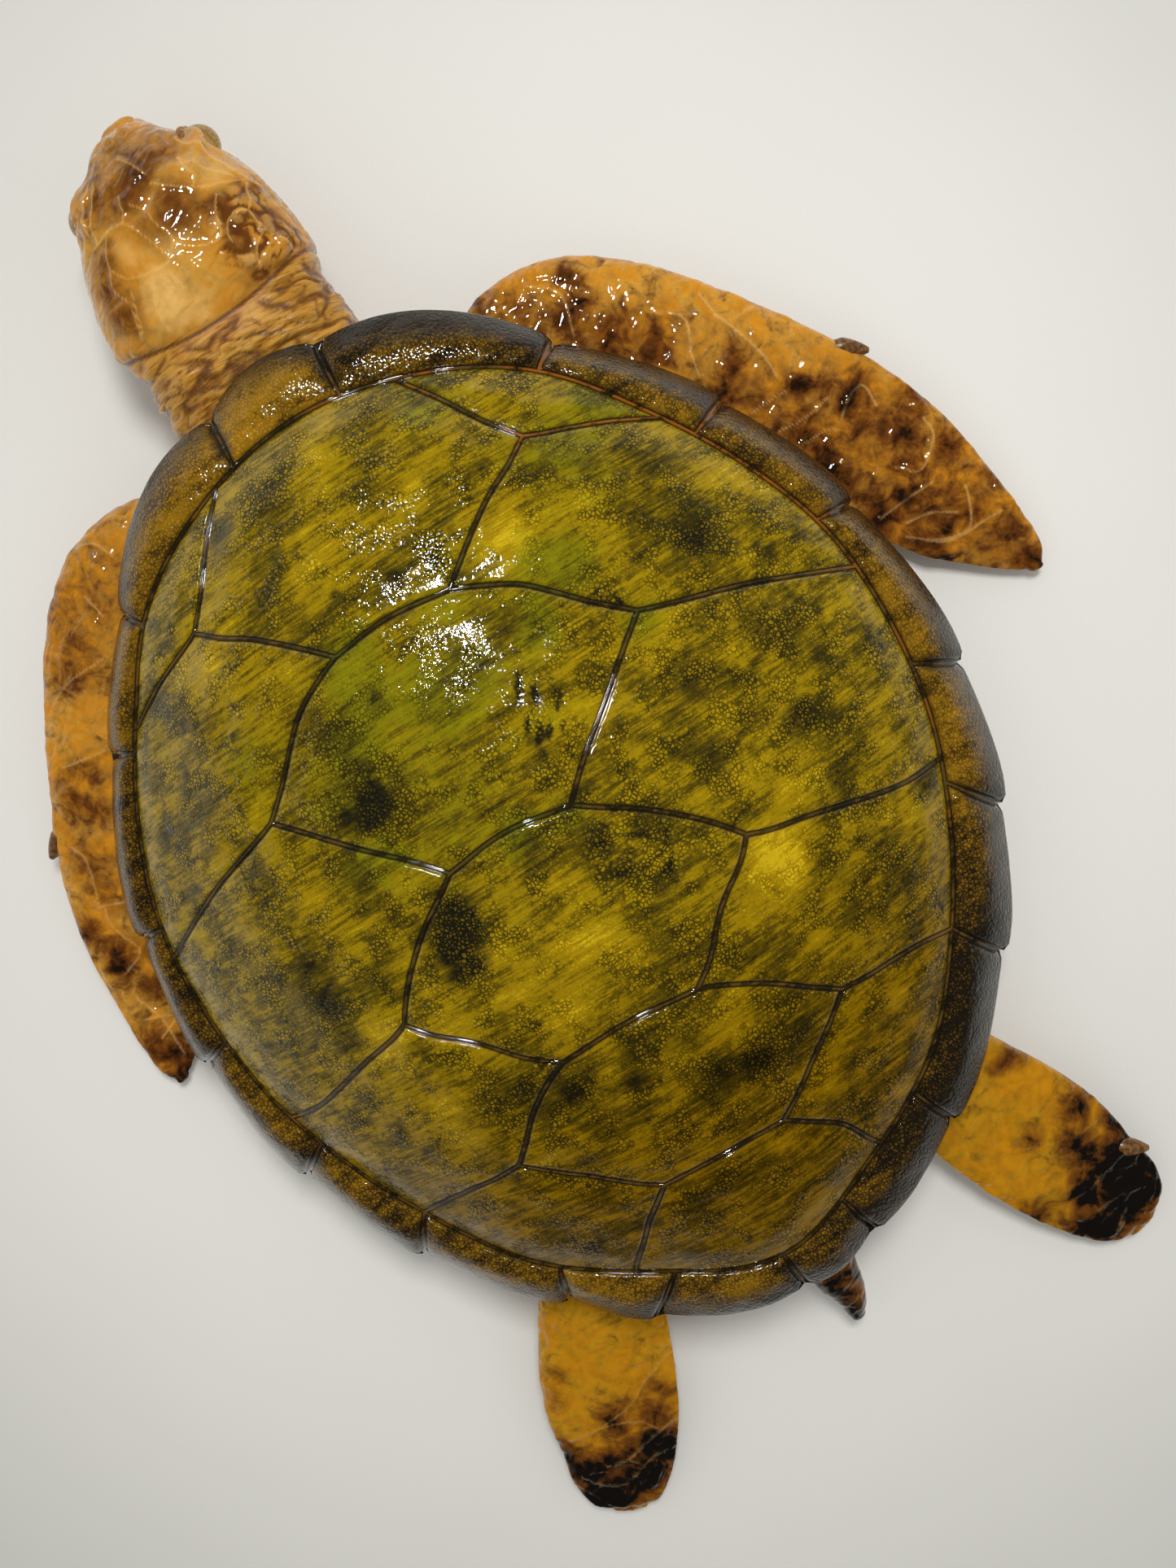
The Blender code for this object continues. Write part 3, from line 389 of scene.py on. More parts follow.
# Each limb's raised lines and its blotches
LIMB_LINES = {
    "front_flipper_right": (
        ((183, 117), (203, 118)), ((190, 103), (203, 102), (218, 105)), ((196, 92), (210, 92), (215, 90)),
        ((213, 42), (228, 44), (243, 45)), ((226, 23), (238, 17), (249, 17), (255, 30), (256, 36)),
        ((223, 34), (236, 32), (247, 26)), ((231, 60), (241, 53), (254, 64), (254, 74)),
        ((190, 165), (195, 156), (201, 138), (202, 125)), ((166, 181), (177, 171), (172, 155), (170, 144)),
        ((220, 28), (237, 16), (258, 16), (266, 16)), ((219, 93), (227, 100), (236, 102), (237, 90)),
        ((189, 178), (193, 161), (208, 160)), ((120, 222), (132, 210), (128, 190)),
    ),
    "front_flipper_left": (
        ((-190, 169), (-177, 174), (-151, 175)), ((-144, 206), (-141, 192)),
        ((-203, 140), (-192, 138), (-176, 136)), ((-230, 70), (-213, 65)),
        ((-227, 68), (-229, 57), (-224, 40), (-238, 33)), ((-240, 19), (-235, 3), (-236, -19)),
        ((-243, 7), (-228, 1), (-241, -6)), ((-224, 104), (-221, 93), (-229, 71)),
        ((-137, 229), (-127, 226), (-121, 215)),
    ),
    "hind_flipper_right": (
        ((142, -305), (157, -298), (170, -295)), ((140, -318), (155, -316), (169, -319)),
        ((143, -334), (153, -323)), ((150, -299), (168, -305)),
    ),
    "hind_flipper_left": (
        ((-142, -298), (-122, -294), (-107, -285), (-89, -278)),
        ((-151, -321), (-139, -322), (-120, -316), (-106, -314)),
        ((-160, -298), (-142, -298), (-123, -304), (-116, -313)), ((-142, -333), (-124, -327), (-113, -328)),
        ((-166, -321), (-158, -330), (-149, -335)), ((-139, -322), (-134, -332), (-141, -339)),
    ),
    "tail": (),
}
LIMB_DARK = {
    "front_flipper_right": (
        (138, 216, 6, 0.8), (98, 232, 8, 0.7), (111, 212, 8, 0.6), (133, 197, 9, 0.8), (144, 182, 9, 0.9),
        (158, 167, 9, 0.9), (185, 141, 8, 0.8), (177, 131, 9, 0.9), (209, 115, 7, 0.9), (229, 99, 8, 1),
        (219, 111, 6, 0.7), (197, 97, 9, 0.9), (202, 78, 10, 0.9), (258, 57, 7, 0.9), (212, 41, 11, 1),
        (227, 42, 7, 0.9), (251, 26, 6, 0.8), (220, 22, 8, 0.9), (229, 11, 7, 0.9), (268, 35, 7, 0.5),
        (268, 6, 9, 0.6), (269, -11, 8, 0.8), (257, 0, 8, 0.5), (253, 85, 8, 0.8), (120, 175, 12, 0.8),
        (240, 75, 9, 0.8), (235, 60, 8, 0.7), (232, 88, 8, 0.8), (100, 195, 28, 0.5), (150, 150, 20, 0.3),
        (190, 115, 20, 0.45), (212, 80, 26, 0.5), (238, 35, 28, 0.6), (262, 5, 20, 0.55),
    ),
    "front_flipper_left": (
        (-163, 208, 12, 0.45), (-166, 186, 14, 0.5), (-140, 205, 22, 0.35), (-196, 131, 8, 0.5),
        (-208, 133, 6, 0.5), (-211, 120, 8, 0.6),
        (-200, 114, 7, 0.6), (-218, 89, 11, 0.5), (-235, 43, 8, 0.9), (-247, -13, 9, 1), (-238, -30, 9, 1.2),
        (-250, -33, 8, 1.2), (-247, -3, 7, 0.9), (-222, 75, 9, 0.5), (-243, 60, 6, 0.8), (-228, 20, 7, 0.7),
    ),
    "hind_flipper_right": (
        (154, -262, 9, 0.9), (148, -281, 9, 0.9), (160, -298, 14, 1.6), (158, -318, 15, 1.7),
        (173, -303, 12, 1.7), (142, -308, 10, 1.4), (111, -303, 7, 0.8), (136, -326, 12, 1.5),
        (136, -221, 5, 0.8), (130, -264, 5, 0.6), (172, -280, 8, 1.3), (168, -258, 6, 0.9),
    ),
    "hind_flipper_left": (
        (-151, -317, 10, 1.1), (-162, -318, 11, 1.4), (-137, -316, 10, 1), (-119, -323, 9, 1.4),
        (-152, -334, 11, 1.4), (-114, -305, 8, 0.9), (-131, -301, 9, 0.9), (-168, -306, 8, 1.1),
        (-144, -258, 4, 0.6), (-133, -335, 10, 1.5), (-166, -335, 9, 1.5), (-104, -292, 6, 0.8),
        (-155, -270, 5, 0.5), (-140, -326, 16, 1.1),
    ),
    "tail": ((3, -305, 14, 1.3), (10, -285, 20, 1.05), (8, -262, 24, 0.95)),
}

# The domes that close a limb or the head: rings, and how far round they go
END_STEPS = 5
END_TURN = math.radians(84)

# Skin relief
LINE_RISE = 0.55 * MM
HOLLOW_DEPTH = 0.3 * MM
HOLLOW_AT = 2.6 * MM  # from the middle of a raised line
HOLLOW_HALF_WIDTH = 1.8 * MM
HEAD_LINE_HALF_WIDTH = 0.8 * MM
LIMB_LINE_HALF_WIDTH = 1.15 * MM
LIMB_SCALE_HALF_WIDTH = 1.1 * MM
SKULL_SCALES = (15 * MM, 11)  # how large, and the seed of their places
SKULL_FOLDS = (10 * MM, 5.5 * MM)
SKULL_FOLD_RISE = 1.1 * MM
NECK_FOLDS = ((3.4 * MM, (5, 1, 5)), (6.4 * MM, (4, 1, 4)))  # how large, and how drawn out
NECK_FOLD_RISE = 0.75 * MM
CREASE_HALF_WIDTH = 0.24  # in the noise that folds are made of
SCALE_JITTER = 0.38  # how far a scale's middle strays, 1 being the distance between scales
TOP_FADE = 2.5  # how sharply the upper side gives way to the lower one

# Where a slow shift reads its noise for each direction, so that the three don't move alike
WARP_OFFSETS = ((9.3, -1.5, -8.0), (4.1, 7.7, 2.6), (-6.2, 3.4, 5.9))

WALL_LIGHT = 0.9
CEILING_LIGHT = 0.3
WALL_REFLECTION = 1.0  # what the varnish mirrors of the room, where it is brightest
BRIGHT_SIDE = (-0.45, 0.88, 0)
DIM_SIDE_SHARE = 0.1
DIM_SIDE_END = -0.2  # which way it faces, 1 being the bright side
CEILING_REFLECTION = 0.02
WALL_TOP = 0.35  # how high up the wall is mirrored, 1 being overhead
ROOM_COLOUR = (1, 0.985, 0.94)
LAMP_COLOUR = (1, 0.985, 0.96)
# Each lamp's place, size and power, and the rays that it is hidden from
LAMPS = {
    "key": ((0.6, 0.7, 1.95), 0.5, 24.5, "visible_glossy"),
    "glints": ((0.17, 1.38, 2.0), 0.2, 40, "visible_diffuse"),
}
FLOOR_REACH = 4

SHELL_PLACE = sum(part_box("left_eye"), Vector()) / 2 - Vector(EYE_PLACES["left_eye"]) * MM


# Making and placing pieces


def finish_piece(name, bm, material, replaced=()):
    """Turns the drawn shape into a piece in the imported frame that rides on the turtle."""
    bmesh.ops.recalc_face_normals(bm, faces=bm.faces)
    bmesh.ops.translate(bm, verts=bm.verts, vec=SHELL_PLACE)
    mesh = bpy.data.meshes.new(name)
    bm.to_mesh(mesh)
    bm.free()
    mesh.shade_smooth()
    mesh.materials.append(material)
    piece = bpy.data.objects.new(name, mesh)
    bpy.context.scene.collection.objects.link(piece)
    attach(piece, "root")
    for node in replaced:
        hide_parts(node)
    return piece


def set_values(bm, name, values):
    """Stores one number for each vertex, for the materials to read."""
    layer = bm.verts.layers.float.new(name)
    for vert, value in zip(bm.verts, values):
        vert[layer] = value


def places_of(bm):
    return np.array([vert.co for vert in bm.verts])


def normals_of(bm):
    return np.array([vert.normal for vert in bm.verts])


def bell(value, half_width):
    """1 where the value is 0, and falling off smoothly to both sides."""
    return np.exp(-((value / half_width) ** 2))


def spots(places, table):
    """The strongest of the soft round spots at each place."""
    result = np.zeros(len(places))
    for x, y, reach, strength in table:
        away = np.hypot(places[:, 0] / MM - x, places[:, 1] / MM - y)
        result = np.maximum(result, strength * bell(away, SPOT_SPREAD * reach))
    return result


def warped(places, size, reach):
    """The places shifted about by a slow noise, so that spots, scales and folds become ragged."""
    scaled = places / size
    shifts = [[noise.noise(Vector(p)) for p in scaled + offset] for offset in WARP_OFFSETS]
    return places + reach * np.array(shifts).T


def noise_at(places, size, stretch=(1, 1, 1)):
    """Smooth noise from about -1 to 1, with features about this large."""
    scaled = places / size / np.array(stretch)
    return np.array([noise.noise(Vector(p)) for p in scaled]) * 1.6


# Curves in the plan


def catmull_rom(a, b, c, d, t):
    """The point a share t of the way from b to c on a smooth curve through a, b, c and d."""
    straight = 2 * b + (c - a) * t
    return 0.5 * (straight + (2 * a - 5 * b + 4 * c - d) * t**2 + (3 * b - 3 * c + d - a) * t**3)


def smooth_path(points, spacing):
    """Points about this far apart on a smooth curve through the given ones."""
    held = [points[0] * 2 - points[1], *points, points[-1] * 2 - points[-2]]
    path = [points[0]]
    for a, b, c, d in zip(held, held[1:], held[2:], held[3:]):
        count = max(1, round((c - b).length / spacing))
        path += [catmull_rom(a, b, c, d, (i + 1) / count) for i in range(count)]
    return path


def groove_radius(angle):
    """The rim groove's radius at an angle in degrees from the nape, the same on both sides."""
    ring = np.array(GROOVE_RADII + GROOVE_RADII[-2:0:-1], float)
    place = np.asarray(angle) / 360 * len(ring)
    i = np.floor(place).astype(int)
    around = [ring[(i + k) % len(ring)] for k in (-1, 0, 1, 2)]
    return catmull_rom(*around, place - i) * MM


def rim_place(angle):
    """The rim seams before and behind an angle, how far between them it lies, and the scallop."""
    angle = (angle + 180) % 360 - 180
    seams = RIM_SEAMS[1 if angle > 0 else -1]
    if abs(angle) <= seams[0][1]:
        before, behind = RIM_SEAMS[-1][0], RIM_SEAMS[1][0]
        return before, behind, (angle + before[1]) / (before[1] + behind[1]), SCALLOPS[0]
    for before, behind, scallop in zip(seams, seams[1:], SCALLOPS[1:]):
        if abs(angle) <= behind[1]:
            return before, behind, (abs(angle) - before[1]) / (behind[1] - before[1]), scallop


def edge_radius(angle):
    """The radius of the shell's scalloped edge."""
    (_, _, low), (_, _, high), share, (bulge, skew) = rim_place(angle)
    return (low + (high - low) * share + bulge * math.sin(math.pi * share**skew)) * MM


EDGE_ANGLES = np.linspace(-180, 180, 2881)
EDGE_RADII = np.array([edge_radius(angle) for angle in EDGE_ANGLES])


def at_angle(angle, radius):
    turned = math.radians(angle)
    return Vector((math.sin(turned), math.cos(turned), 0)) * radius


def plan_point(x, y):
    return Vector((x, y, 0)) * MM


def mirrored(point):
    return Vector((-point.x, point.y, point.z))


def smoothstep(value):
    value = np.clip(value, 0, 1)
    return value * value * (3 - 2 * value)


def swayed(point):
    """A seam's point, leaning aside towards the tail, but not at the rim."""
    lean = REAR_SWAY * smoothstep((point.y - SWAY_FROM) / (SWAY_TO - SWAY_FROM))
    from_rim = 1 - point.length / groove_radius(math.degrees(math.atan2(point.x, point.y)))
    return point + Vector((lean * smoothstep(from_rim * 8), 0, 0))


def seam_node(name):
    if name in GROOVE_NODES:
        return at_angle(GROOVE_NODES[name], groove_radius(GROOVE_NODES[name]))
    return plan_point(*NODES[name])


def shell_seams(spacing):
    """The seams inside the rim groove, as lists of plan points."""
    paths = []
    for start, between, end in SEAMS:
        points = [seam_node(start), *(plan_point(*p) for p in between), seam_node(end)]
        path = smooth_path(points, spacing)
        paths += [path, [mirrored(p) for p in path]]
    for name, rise in CROSS_SEAMS:
        end = seam_node(name)
        middle = Vector((0, end.y + rise * MM, 0))
        paths.append(smooth_path([mirrored(end), middle, end], spacing))
    return [[swayed(p) for p in path] for path in paths]


def ring_path(radius_at, stops, spacing):
    """A closed ring through every stop angle, with points between them."""
    path = []
    for start, end in zip(stops, stops[1:] + [stops[0] + 360]):
        arc = math.radians(end - start) * radius_at((start + end) / 2)
        count = max(1, round(arc / spacing))
        for i in range(count):
            angle = start + (end - start) * i / count
            path.append(at_angle(angle, radius_at(angle)))
    return path + path[:1]


def around(angles):
    return sorted({angle % 360 for angle in angles})


def rim_paths(spacing):
    """The groove ring, the edge ring and the seams between rim scutes."""
    nodes = [side * angle for side in RIM_SEAMS for angle in GROOVE_NODES.values()]
    seams = [(side * inner, side * outer) for side in RIM_SEAMS for inner, outer, _ in RIM_SEAMS[side]]
    groove = ring_path(groove_radius, around([inner for inner, _ in seams] + nodes), spacing)
    edge = ring_path(edge_radius, around([outer for _, outer in seams]), spacing)
    spokes = []
    for inner, outer in seams[:-1]:
        start = at_angle(inner, groove_radius(inner))
        end = at_angle(outer, edge_radius(outer))
        spokes.append(smooth_path([start, end], spacing))
    return groove, edge, spokes


# Shell


def faces_between(bm, paths):
    """One flat face for each area that the paths enclose, without one that covers them all."""
    for path in paths:
        verts = [bm.verts.new(point) for point in path]
        for ends in zip(verts, verts[1:]):
            bm.edges.new(ends)
    bmesh.ops.remove_doubles(bm, verts=bm.verts, dist=0.01 * MM)
    bmesh.ops.edgenet_fill(bm, edges=bm.edges)
    largest = max(bm.faces, key=lambda face: face.calc_area())
    if largest.calc_area() > 0.45 * sum(face.calc_area() for face in bm.faces):
        bmesh.ops.delete(bm, geom=[largest], context="FACES_ONLY")
    for face in bm.faces:
        if face.normal.z < 0:
            face.normal_flip()
    return list(bm.faces)


def clear_corners(bm, faces, width):
    """Takes out the points so close to a sharp corner that an inset this wide would pass them."""
    spare = set()
    for face in faces:
        count = len(face.loops)
        for i, corner in enumerate(face.loops):
            if not corner.is_convex:
                continue
            reach = CORNER_ROOM * width / math.tan(corner.calc_angle() / 2)
            for step in (1, -1):
                j = i + step
                vert = face.loops[j % count].vert
                while len(vert.link_edges) == 2 and (vert.co - corner.vert.co).length < reach:
                    spare.add(vert)
                    j += step
                    vert = face.loops[j % count].vert
    bmesh.ops.dissolve_verts(bm, verts=list(spare))


def slice_faces(bm, faces, axis, step):
    """Cuts the faces along a grid, and leaves their neighbours whole."""
    normal = Vector((axis == 0, axis == 1, 0))
    low = min(v.co[axis] for f in faces for v in f.verts)
    high = max(v.co[axis] for f in faces for v in f.verts)
    live = list(faces)
    done = []
    for i in range(math.ceil(low / step), math.floor(high / step) + 1):
        ahead = []
        for face in live:
            passed = max(v.co[axis] for v in face.verts) <= i * step
            (done if passed else ahead).append(face)
        geometry = set(ahead)
        for face in ahead:
            geometry.update(face.edges)
            geometry.update(face.verts)
        cut = bmesh.ops.bisect_plane(
            bm, geom=list(geometry), dist=1e-5, plane_co=normal * i * step, plane_no=normal
        )
        live = [item for item in cut["geom"] if isinstance(item, bmesh.types.BMFace)]
    return done + live


def extrude_loop(bm, loop):
    made = bmesh.ops.extrude_edge_only(bm, edges=loop)["geom"]
    fresh = {v for v in made if isinstance(v, bmesh.types.BMVert)}
    return [e for e in made if isinstance(e, bmesh.types.BMEdge) and set(e.verts) <= fresh]


def away_from(paths, places):
    """How far each place is from the nearest of the paths, in the plan."""
    points = []
    for path in paths:
        for a, b in zip(path, path[1:]):
            count = max(1, round((b - a).length / PATH_STEP))
            points += [a.lerp(b, i / count) for i in range(count)]
        points.append(path[-1])
    tree = KDTree(len(points))
    for i, point in enumerate(points):
        tree.insert((point.x, point.y, 0), i)
    tree.balance()
    return np.array([tree.find((x, y, 0))[2] for x, y in places[:, :2]])


def polar(places):
    """Each place's angle in degrees from the nape, and its distance from the centre."""
    return np.degrees(np.arctan2(places[:, 0], places[:, 1])), np.hypot(places[:, 0], places[:, 1])


def rim_shares(places):
    """How far across the rim and along its scute each place lies, and how long the scute is there."""
    angle, radius = polar(places)
    inner = groove_radius(angle)
    across = (radius - inner) / (np.interp(angle, EDGE_ANGLES, EDGE_RADII) - inner)
    share = np.clip(across, 0, 1)
    stops = {}
    for side, seams in RIM_SEAMS.items():
        stops[side] = [groove * (1 - share) + edge * share for groove, edge, _ in seams]
    length = stops[-1][0] + stops[1][0]
    along = (angle + stops[-1][0]) / length
    for side in stops:
        for start, end in zip(stops[side], stops[side][1:]):
            here = side * angle > start
            along = np.where(here, (side * angle - start) / (end - start), along)
            length = np.where(here, end - start, length)
    return across, along, length * radius * math.pi / 180


def notch_rim(places):
    """Lets each rim scute's rear corner stand out past the next one, and notches the seams."""
    across, along, length = rim_shares(places)
    share = np.clip(across, 0, 1)
    from_seam = np.minimum(along, 1 - along) * length
    notch = NOTCH_DEPTH * bell(from_seam, NOTCH_HALF_WIDTH)
    reach = (EDGE_STEP * (np.clip(along, 0, 1) ** 3 - 0.45) - notch) * share**1.5
    _, radius = polar(places)
    return places * (1 + np.where(across > 0, reach / radius, 0))[:, None], across, along, length


def rim_height(y):
    return GROOVE_HEIGHT + RIM_SLOPE * y + RIM_SAG * y * y


def shell_height(places, across, along, length):
    """The shell's height at plan places, before its seams are sunk."""
    y = places[:, 1]
    angle, radius = polar(places)
    inner = groove_radius(angle)
    share = np.clip(1 - (radius / inner) ** DOME_POWER, 0, 1)
    dome = rim_height(y) + DOME_RISE * share**DOME_ROUND
    out = np.clip(across, 0, 1)
    groove_y = y * inner / np.maximum(radius, 1e-6)
    end = np.where(np.abs(angle) < 90, LIP_DROP_FRONT, LIP_DROP_REAR)
    side = np.minimum(1, np.abs(np.sin(np.radians(angle))) * 1.3) ** 1.5
    drop = end + (LIP_DROP_SIDE - end) * side
    rounded = 1 - np.exp(-np.minimum(along, 1 - along) * length / MARGINAL_ROUND)
    step = MARGINAL_STEP * (np.clip(along, 0, 1) - 0.5) * np.sin(math.pi * out / 2)
    puff = MARGINAL_PUFF * np.sin(math.pi * out) ** 0.8 * rounded + step
    rim = rim_height(groove_y) + puff - drop * out ** (1.25 + 0.65 * side)
    return np.where(across <= 0, dome, rim)


def undulation(places):
    """Broad dents and swells, as on any old scute."""
    x, y = places[:, 0], places[:, 1]
    broad = np.sin(61 * x + 23 * y + 0.7) * np.sin(47 * y - 19 * x + 2.1)
    fine = np.sin(118 * x - 71 * y + 1.3) * np.sin(97 * y + 66 * x)
    return UNDULATION * (broad + 0.6 * fine)


def wrinkled(places):
    """Ridges that run one way, in the places where the scutes are wrinkled."""
    result = np.zeros(len(places))
    for x, y, reach, turn, height in WRINKLES:
        offset = places[:, :2] / MM - (x, y)
        near = np.hypot(*offset.T) < 2.2 * reach
        turned = math.radians(turn)
        along = offset[near] @ (math.cos(turned), math.sin(turned))
        across = offset[near] @ (-math.sin(turned), math.cos(turned))
        fade = bell(np.hypot(along, across), reach)
        long, wide = WRINKLE_SIZE
        waves = [noise.noise((a / long, b / wide, x)) for a, b in zip(along, across)]
        result[near] += height * MM * fade * (0.5 - 2.2 * np.abs(np.array(waves)))
    return result


def pitted(places):
    return sum(
        depth * MM * bell(np.hypot(places[:, 0] / MM - x, places[:, 1] / MM - y), size)
        for x, y, size, depth in PITS
    )


def build_shell(material):
    seams = shell_seams(SEAM_SPACING)
    groove, edge, spokes = rim_paths(SEAM_SPACING)
    bm = bmesh.new()
    faces = faces_between(bm, [*seams, groove, edge, *spokes])
    clear_corners(bm, faces, sum(SEAM_INSETS) * MM)
    faces = list(bm.faces)
    for width in SEAM_INSETS:
        bmesh.ops.inset_individual(bm, faces=faces, thickness=width * MM, use_even_offset=True)
    for axis in (0, 1):
        faces = slice_faces(bm, faces, axis, SHELL_CELL)
    flat = places_of(bm)
    away = away_from([*seams, groove, *spokes], flat)
    places, across, along, length = notch_rim(flat)
    angle, radius = polar(flat)
    inside = np.clip((SWELL_END - radius / groove_radius(angle)) / RIM_FADE, 0, 1)
    ridges = wrinkled(flat)
    swell = PILLOW_RISE * smoothstep(away / PILLOW_REACH) + undulation(flat) + ridges
    on_rim = np.clip(across / RIM_FADE, 0, 1)
    fine = sum(
        (on_dome + (there - on_dome) * on_rim) * MM * noise_at(flat, size * MM)
        for size, on_dome, there in UNEVENNESS
    )
    sunk = np.interp(away / MM, SEAM_AT, SEAM_HEIGHTS) * MM
    height = shell_height(flat, across, along, length) + swell * inside + fine + sunk - pitted(flat)
    for vert, (x, y, _), z in zip(bm.verts, places, height):
        vert.co = (x, y, z)
    ragged = warped(flat, 14 * MM, 4.5 * MM)
    set_values(bm, "seam", away / MM)
    # Painted shade in the valleys between wrinkles, stored with the stains
    wrinkle_shade = WRINKLE_SHADE * np.clip(-ridges / SHADED_DEPTH, 0, 1)
    set_values(bm, "stain_and_shade", spots(ragged, DARK_SPOTS) + wrinkle_shade)
    set_values(bm, "green", spots(ragged, GREEN_SPOTS))
    set_values(bm, "gold", spots(ragged, GOLD_SPOTS))
    set_values(bm, "warm", spots(flat, WARM_SPOTS))
    set_values(bm, "across", np.clip(across, 0, 1))
    tones = np.interp(angle, *zip(*RIM_TONES))
    set_values(bm, "rim_tone", tones - 0.4 * np.clip(along, 0, 1) ** 4 * np.clip(across, 0, 1))
    loop = [e for e in bm.edges if e.is_boundary]
    for inset, below in LIP_ROLL:
        loop = extrude_loop(bm, loop)
        for vert in {v for e in loop for v in e.verts}:
            inward = Vector((-vert.co.x, -vert.co.y, 0)).normalized()
            vert.co += inward * inset * MM - Vector((0, 0, below * MM))
    loop = extrude_loop(bm, loop)
    for vert in {v for e in loop for v in e.verts}:
        turn = math.degrees(math.atan2(vert.co.x, vert.co.y))
        vert.co = at_angle(turn, groove_radius(turn) * UNDERSIDE_REACH)
        vert.co.z = UNDERSIDE_HEIGHT
    bmesh.ops.holes_fill(bm, edges=loop)
    return finish_piece("shell", bm, material, ("carapace",))


# Lofted pieces


def dense(sections, spacing, columns):
    """The sections with more between them, about this far apart by their first few columns."""
    rows = [np.array(row, float) for row in sections]
    held = [rows[0] * 2 - rows[1], *rows, rows[-1] * 2 - rows[-2]]
    result = [rows[0]]
    for a, b, c, d in zip(held, held[1:], held[2:], held[3:]):
        count = max(1, round(float(np.linalg.norm((c - b)[:columns])) / spacing))
        result += [catmull_rom(a, b, c, d, (i + 1) / count) for i in range(count)]
    return result


def rounded_ends(rings, reach):
    """The rings with smaller ones past both ends, which close them in a dome."""
    result = list(rings)
    for at_start in (True, False):
        last, before = (rings[0], rings[1]) if at_start else (rings[-1], rings[-2])
        centre = sum(last, Vector()) / len(last)
        out = (centre - sum(before, Vector()) / len(before)).normalized()
        cap = []
        for i in range(1, END_STEPS + 1):
            turn = END_TURN * i / END_STEPS
            cap.append([centre + (p - centre) * math.cos(turn) + out * reach * math.sin(turn) for p in last])
        result = cap[::-1] + result if at_start else result + cap
    return result


def loft(rings):
    """A closed skin over rings with equal counts of points."""
    bm = bmesh.new()
    loops = []
    for ring in rings:
        verts = bmesh.ops.create_circle(bm, segments=len(ring), radius=1)["verts"]
        for vert, point in zip(verts, ring):
            vert.co = point
        loops.append(list({e for v in verts for e in v.link_edges}))
    for near, far in zip(loops, loops[1:]):
        bmesh.ops.bridge_loops(bm, edges=near + far)
    bmesh.ops.holes_fill(bm, edges=loops[0] + loops[-1])
    bmesh.ops.recalc_face_normals(bm, faces=bm.faces)
    bm.normal_update()
    return bm


def body_rings(sections, count, squareness):
    """Rings of a superellipse's shape."""
    turns = [2 * math.pi * (i + 0.5) / count for i in range(count)]
    rings = []
    for y, x, half, low, high in sections:
        middle, reach = (low + high) / 2, (high - low) / 2
        ring = []
        for turn in turns:
            c, s = math.cos(turn), math.sin(turn)
            size = (abs(c) ** squareness + abs(s) ** squareness) ** (-1 / squareness)
            ring.append(Vector((x + c * size * half, y, middle + s * size * reach)) * MM)
        rings.append(ring)
    return rings


def flipper_rings(sections, count, side):
    """Rings like a wing's: thick near the leading edge and thin behind."""
    rings = []
    for lead_x, lead_y, trail_x, trail_y, height, thick in sections:
        lead = Vector((side * lead_x, lead_y, height))
        trail = Vector((side * trail_x, trail_y, height))
        ring = []
        for i in range(count):
            turn = 2 * math.pi * i / count
            share = (1 - math.cos(turn)) / 2
            lift = thick / 2 * math.sin(turn) * (1.2 - 0.6 * share)
            ring.append((lead.lerp(trail, share) + Vector((0, 0, lift))) * MM)
        rings.append(ring)
    return rings


def line_paths(table):
    return [smooth_path([plan_point(*p) for p in line], 2 * MM) for line in table]


def scale_edges(places, size, seed, stretch=(1, 1, 1)):
    """How far each place is from the border of its scale, in a mosaic of scales about this large."""
    scaled = places / np.array(stretch)
    low, high = scaled.min(axis=0), scaled.max(axis=0)
    draw = random.Random(seed)
    count = np.maximum(1, np.ceil((high - low) / size)).astype(int)
    seeds = []
    for i in range(count[0] + 1):
        for j in range(count[1] + 1):
            for k in range(count[2] + 1):
                stray = [cell + draw.uniform(-SCALE_JITTER, SCALE_JITTER) for cell in (i, j, k)]
                seeds.append([start + cell * size for start, cell in zip(low, stray)])
    tree = KDTree(len(seeds))
    for i, place in enumerate(seeds):
        tree.insert(place, i)
    tree.balance()
    result = []
    for place in scaled:
        (_, _, first), (_, _, second) = tree.find_n(place, 2)
        result.append((second - first) / 2)
    return np.array(result)


def push_out(bm, heights):
    """Moves every vertex along its normal."""
    bm.normal_update()
    for vert, height in zip(bm.verts, heights):
        vert.co += vert.normal * height


def line_relief(away, half_width):
    """A raised line with a shallow hollow on both sides, and how strongly each place is either."""
    line = bell(away, half_width)
    hollow = bell(away - HOLLOW_AT, HOLLOW_HALF_WIDTH)
    return LINE_RISE * line - HOLLOW_DEPTH * hollow, line, hollow


def folds(places, size, stretch=(1, 1, 1)):
    """Rounded folds up from -1, and how near each place is to a crease between them."""
    waves = np.abs(noise_at(places, size, stretch))
    return 3.2 * waves - 1, bell(waves, CREASE_HALF_WIDTH)


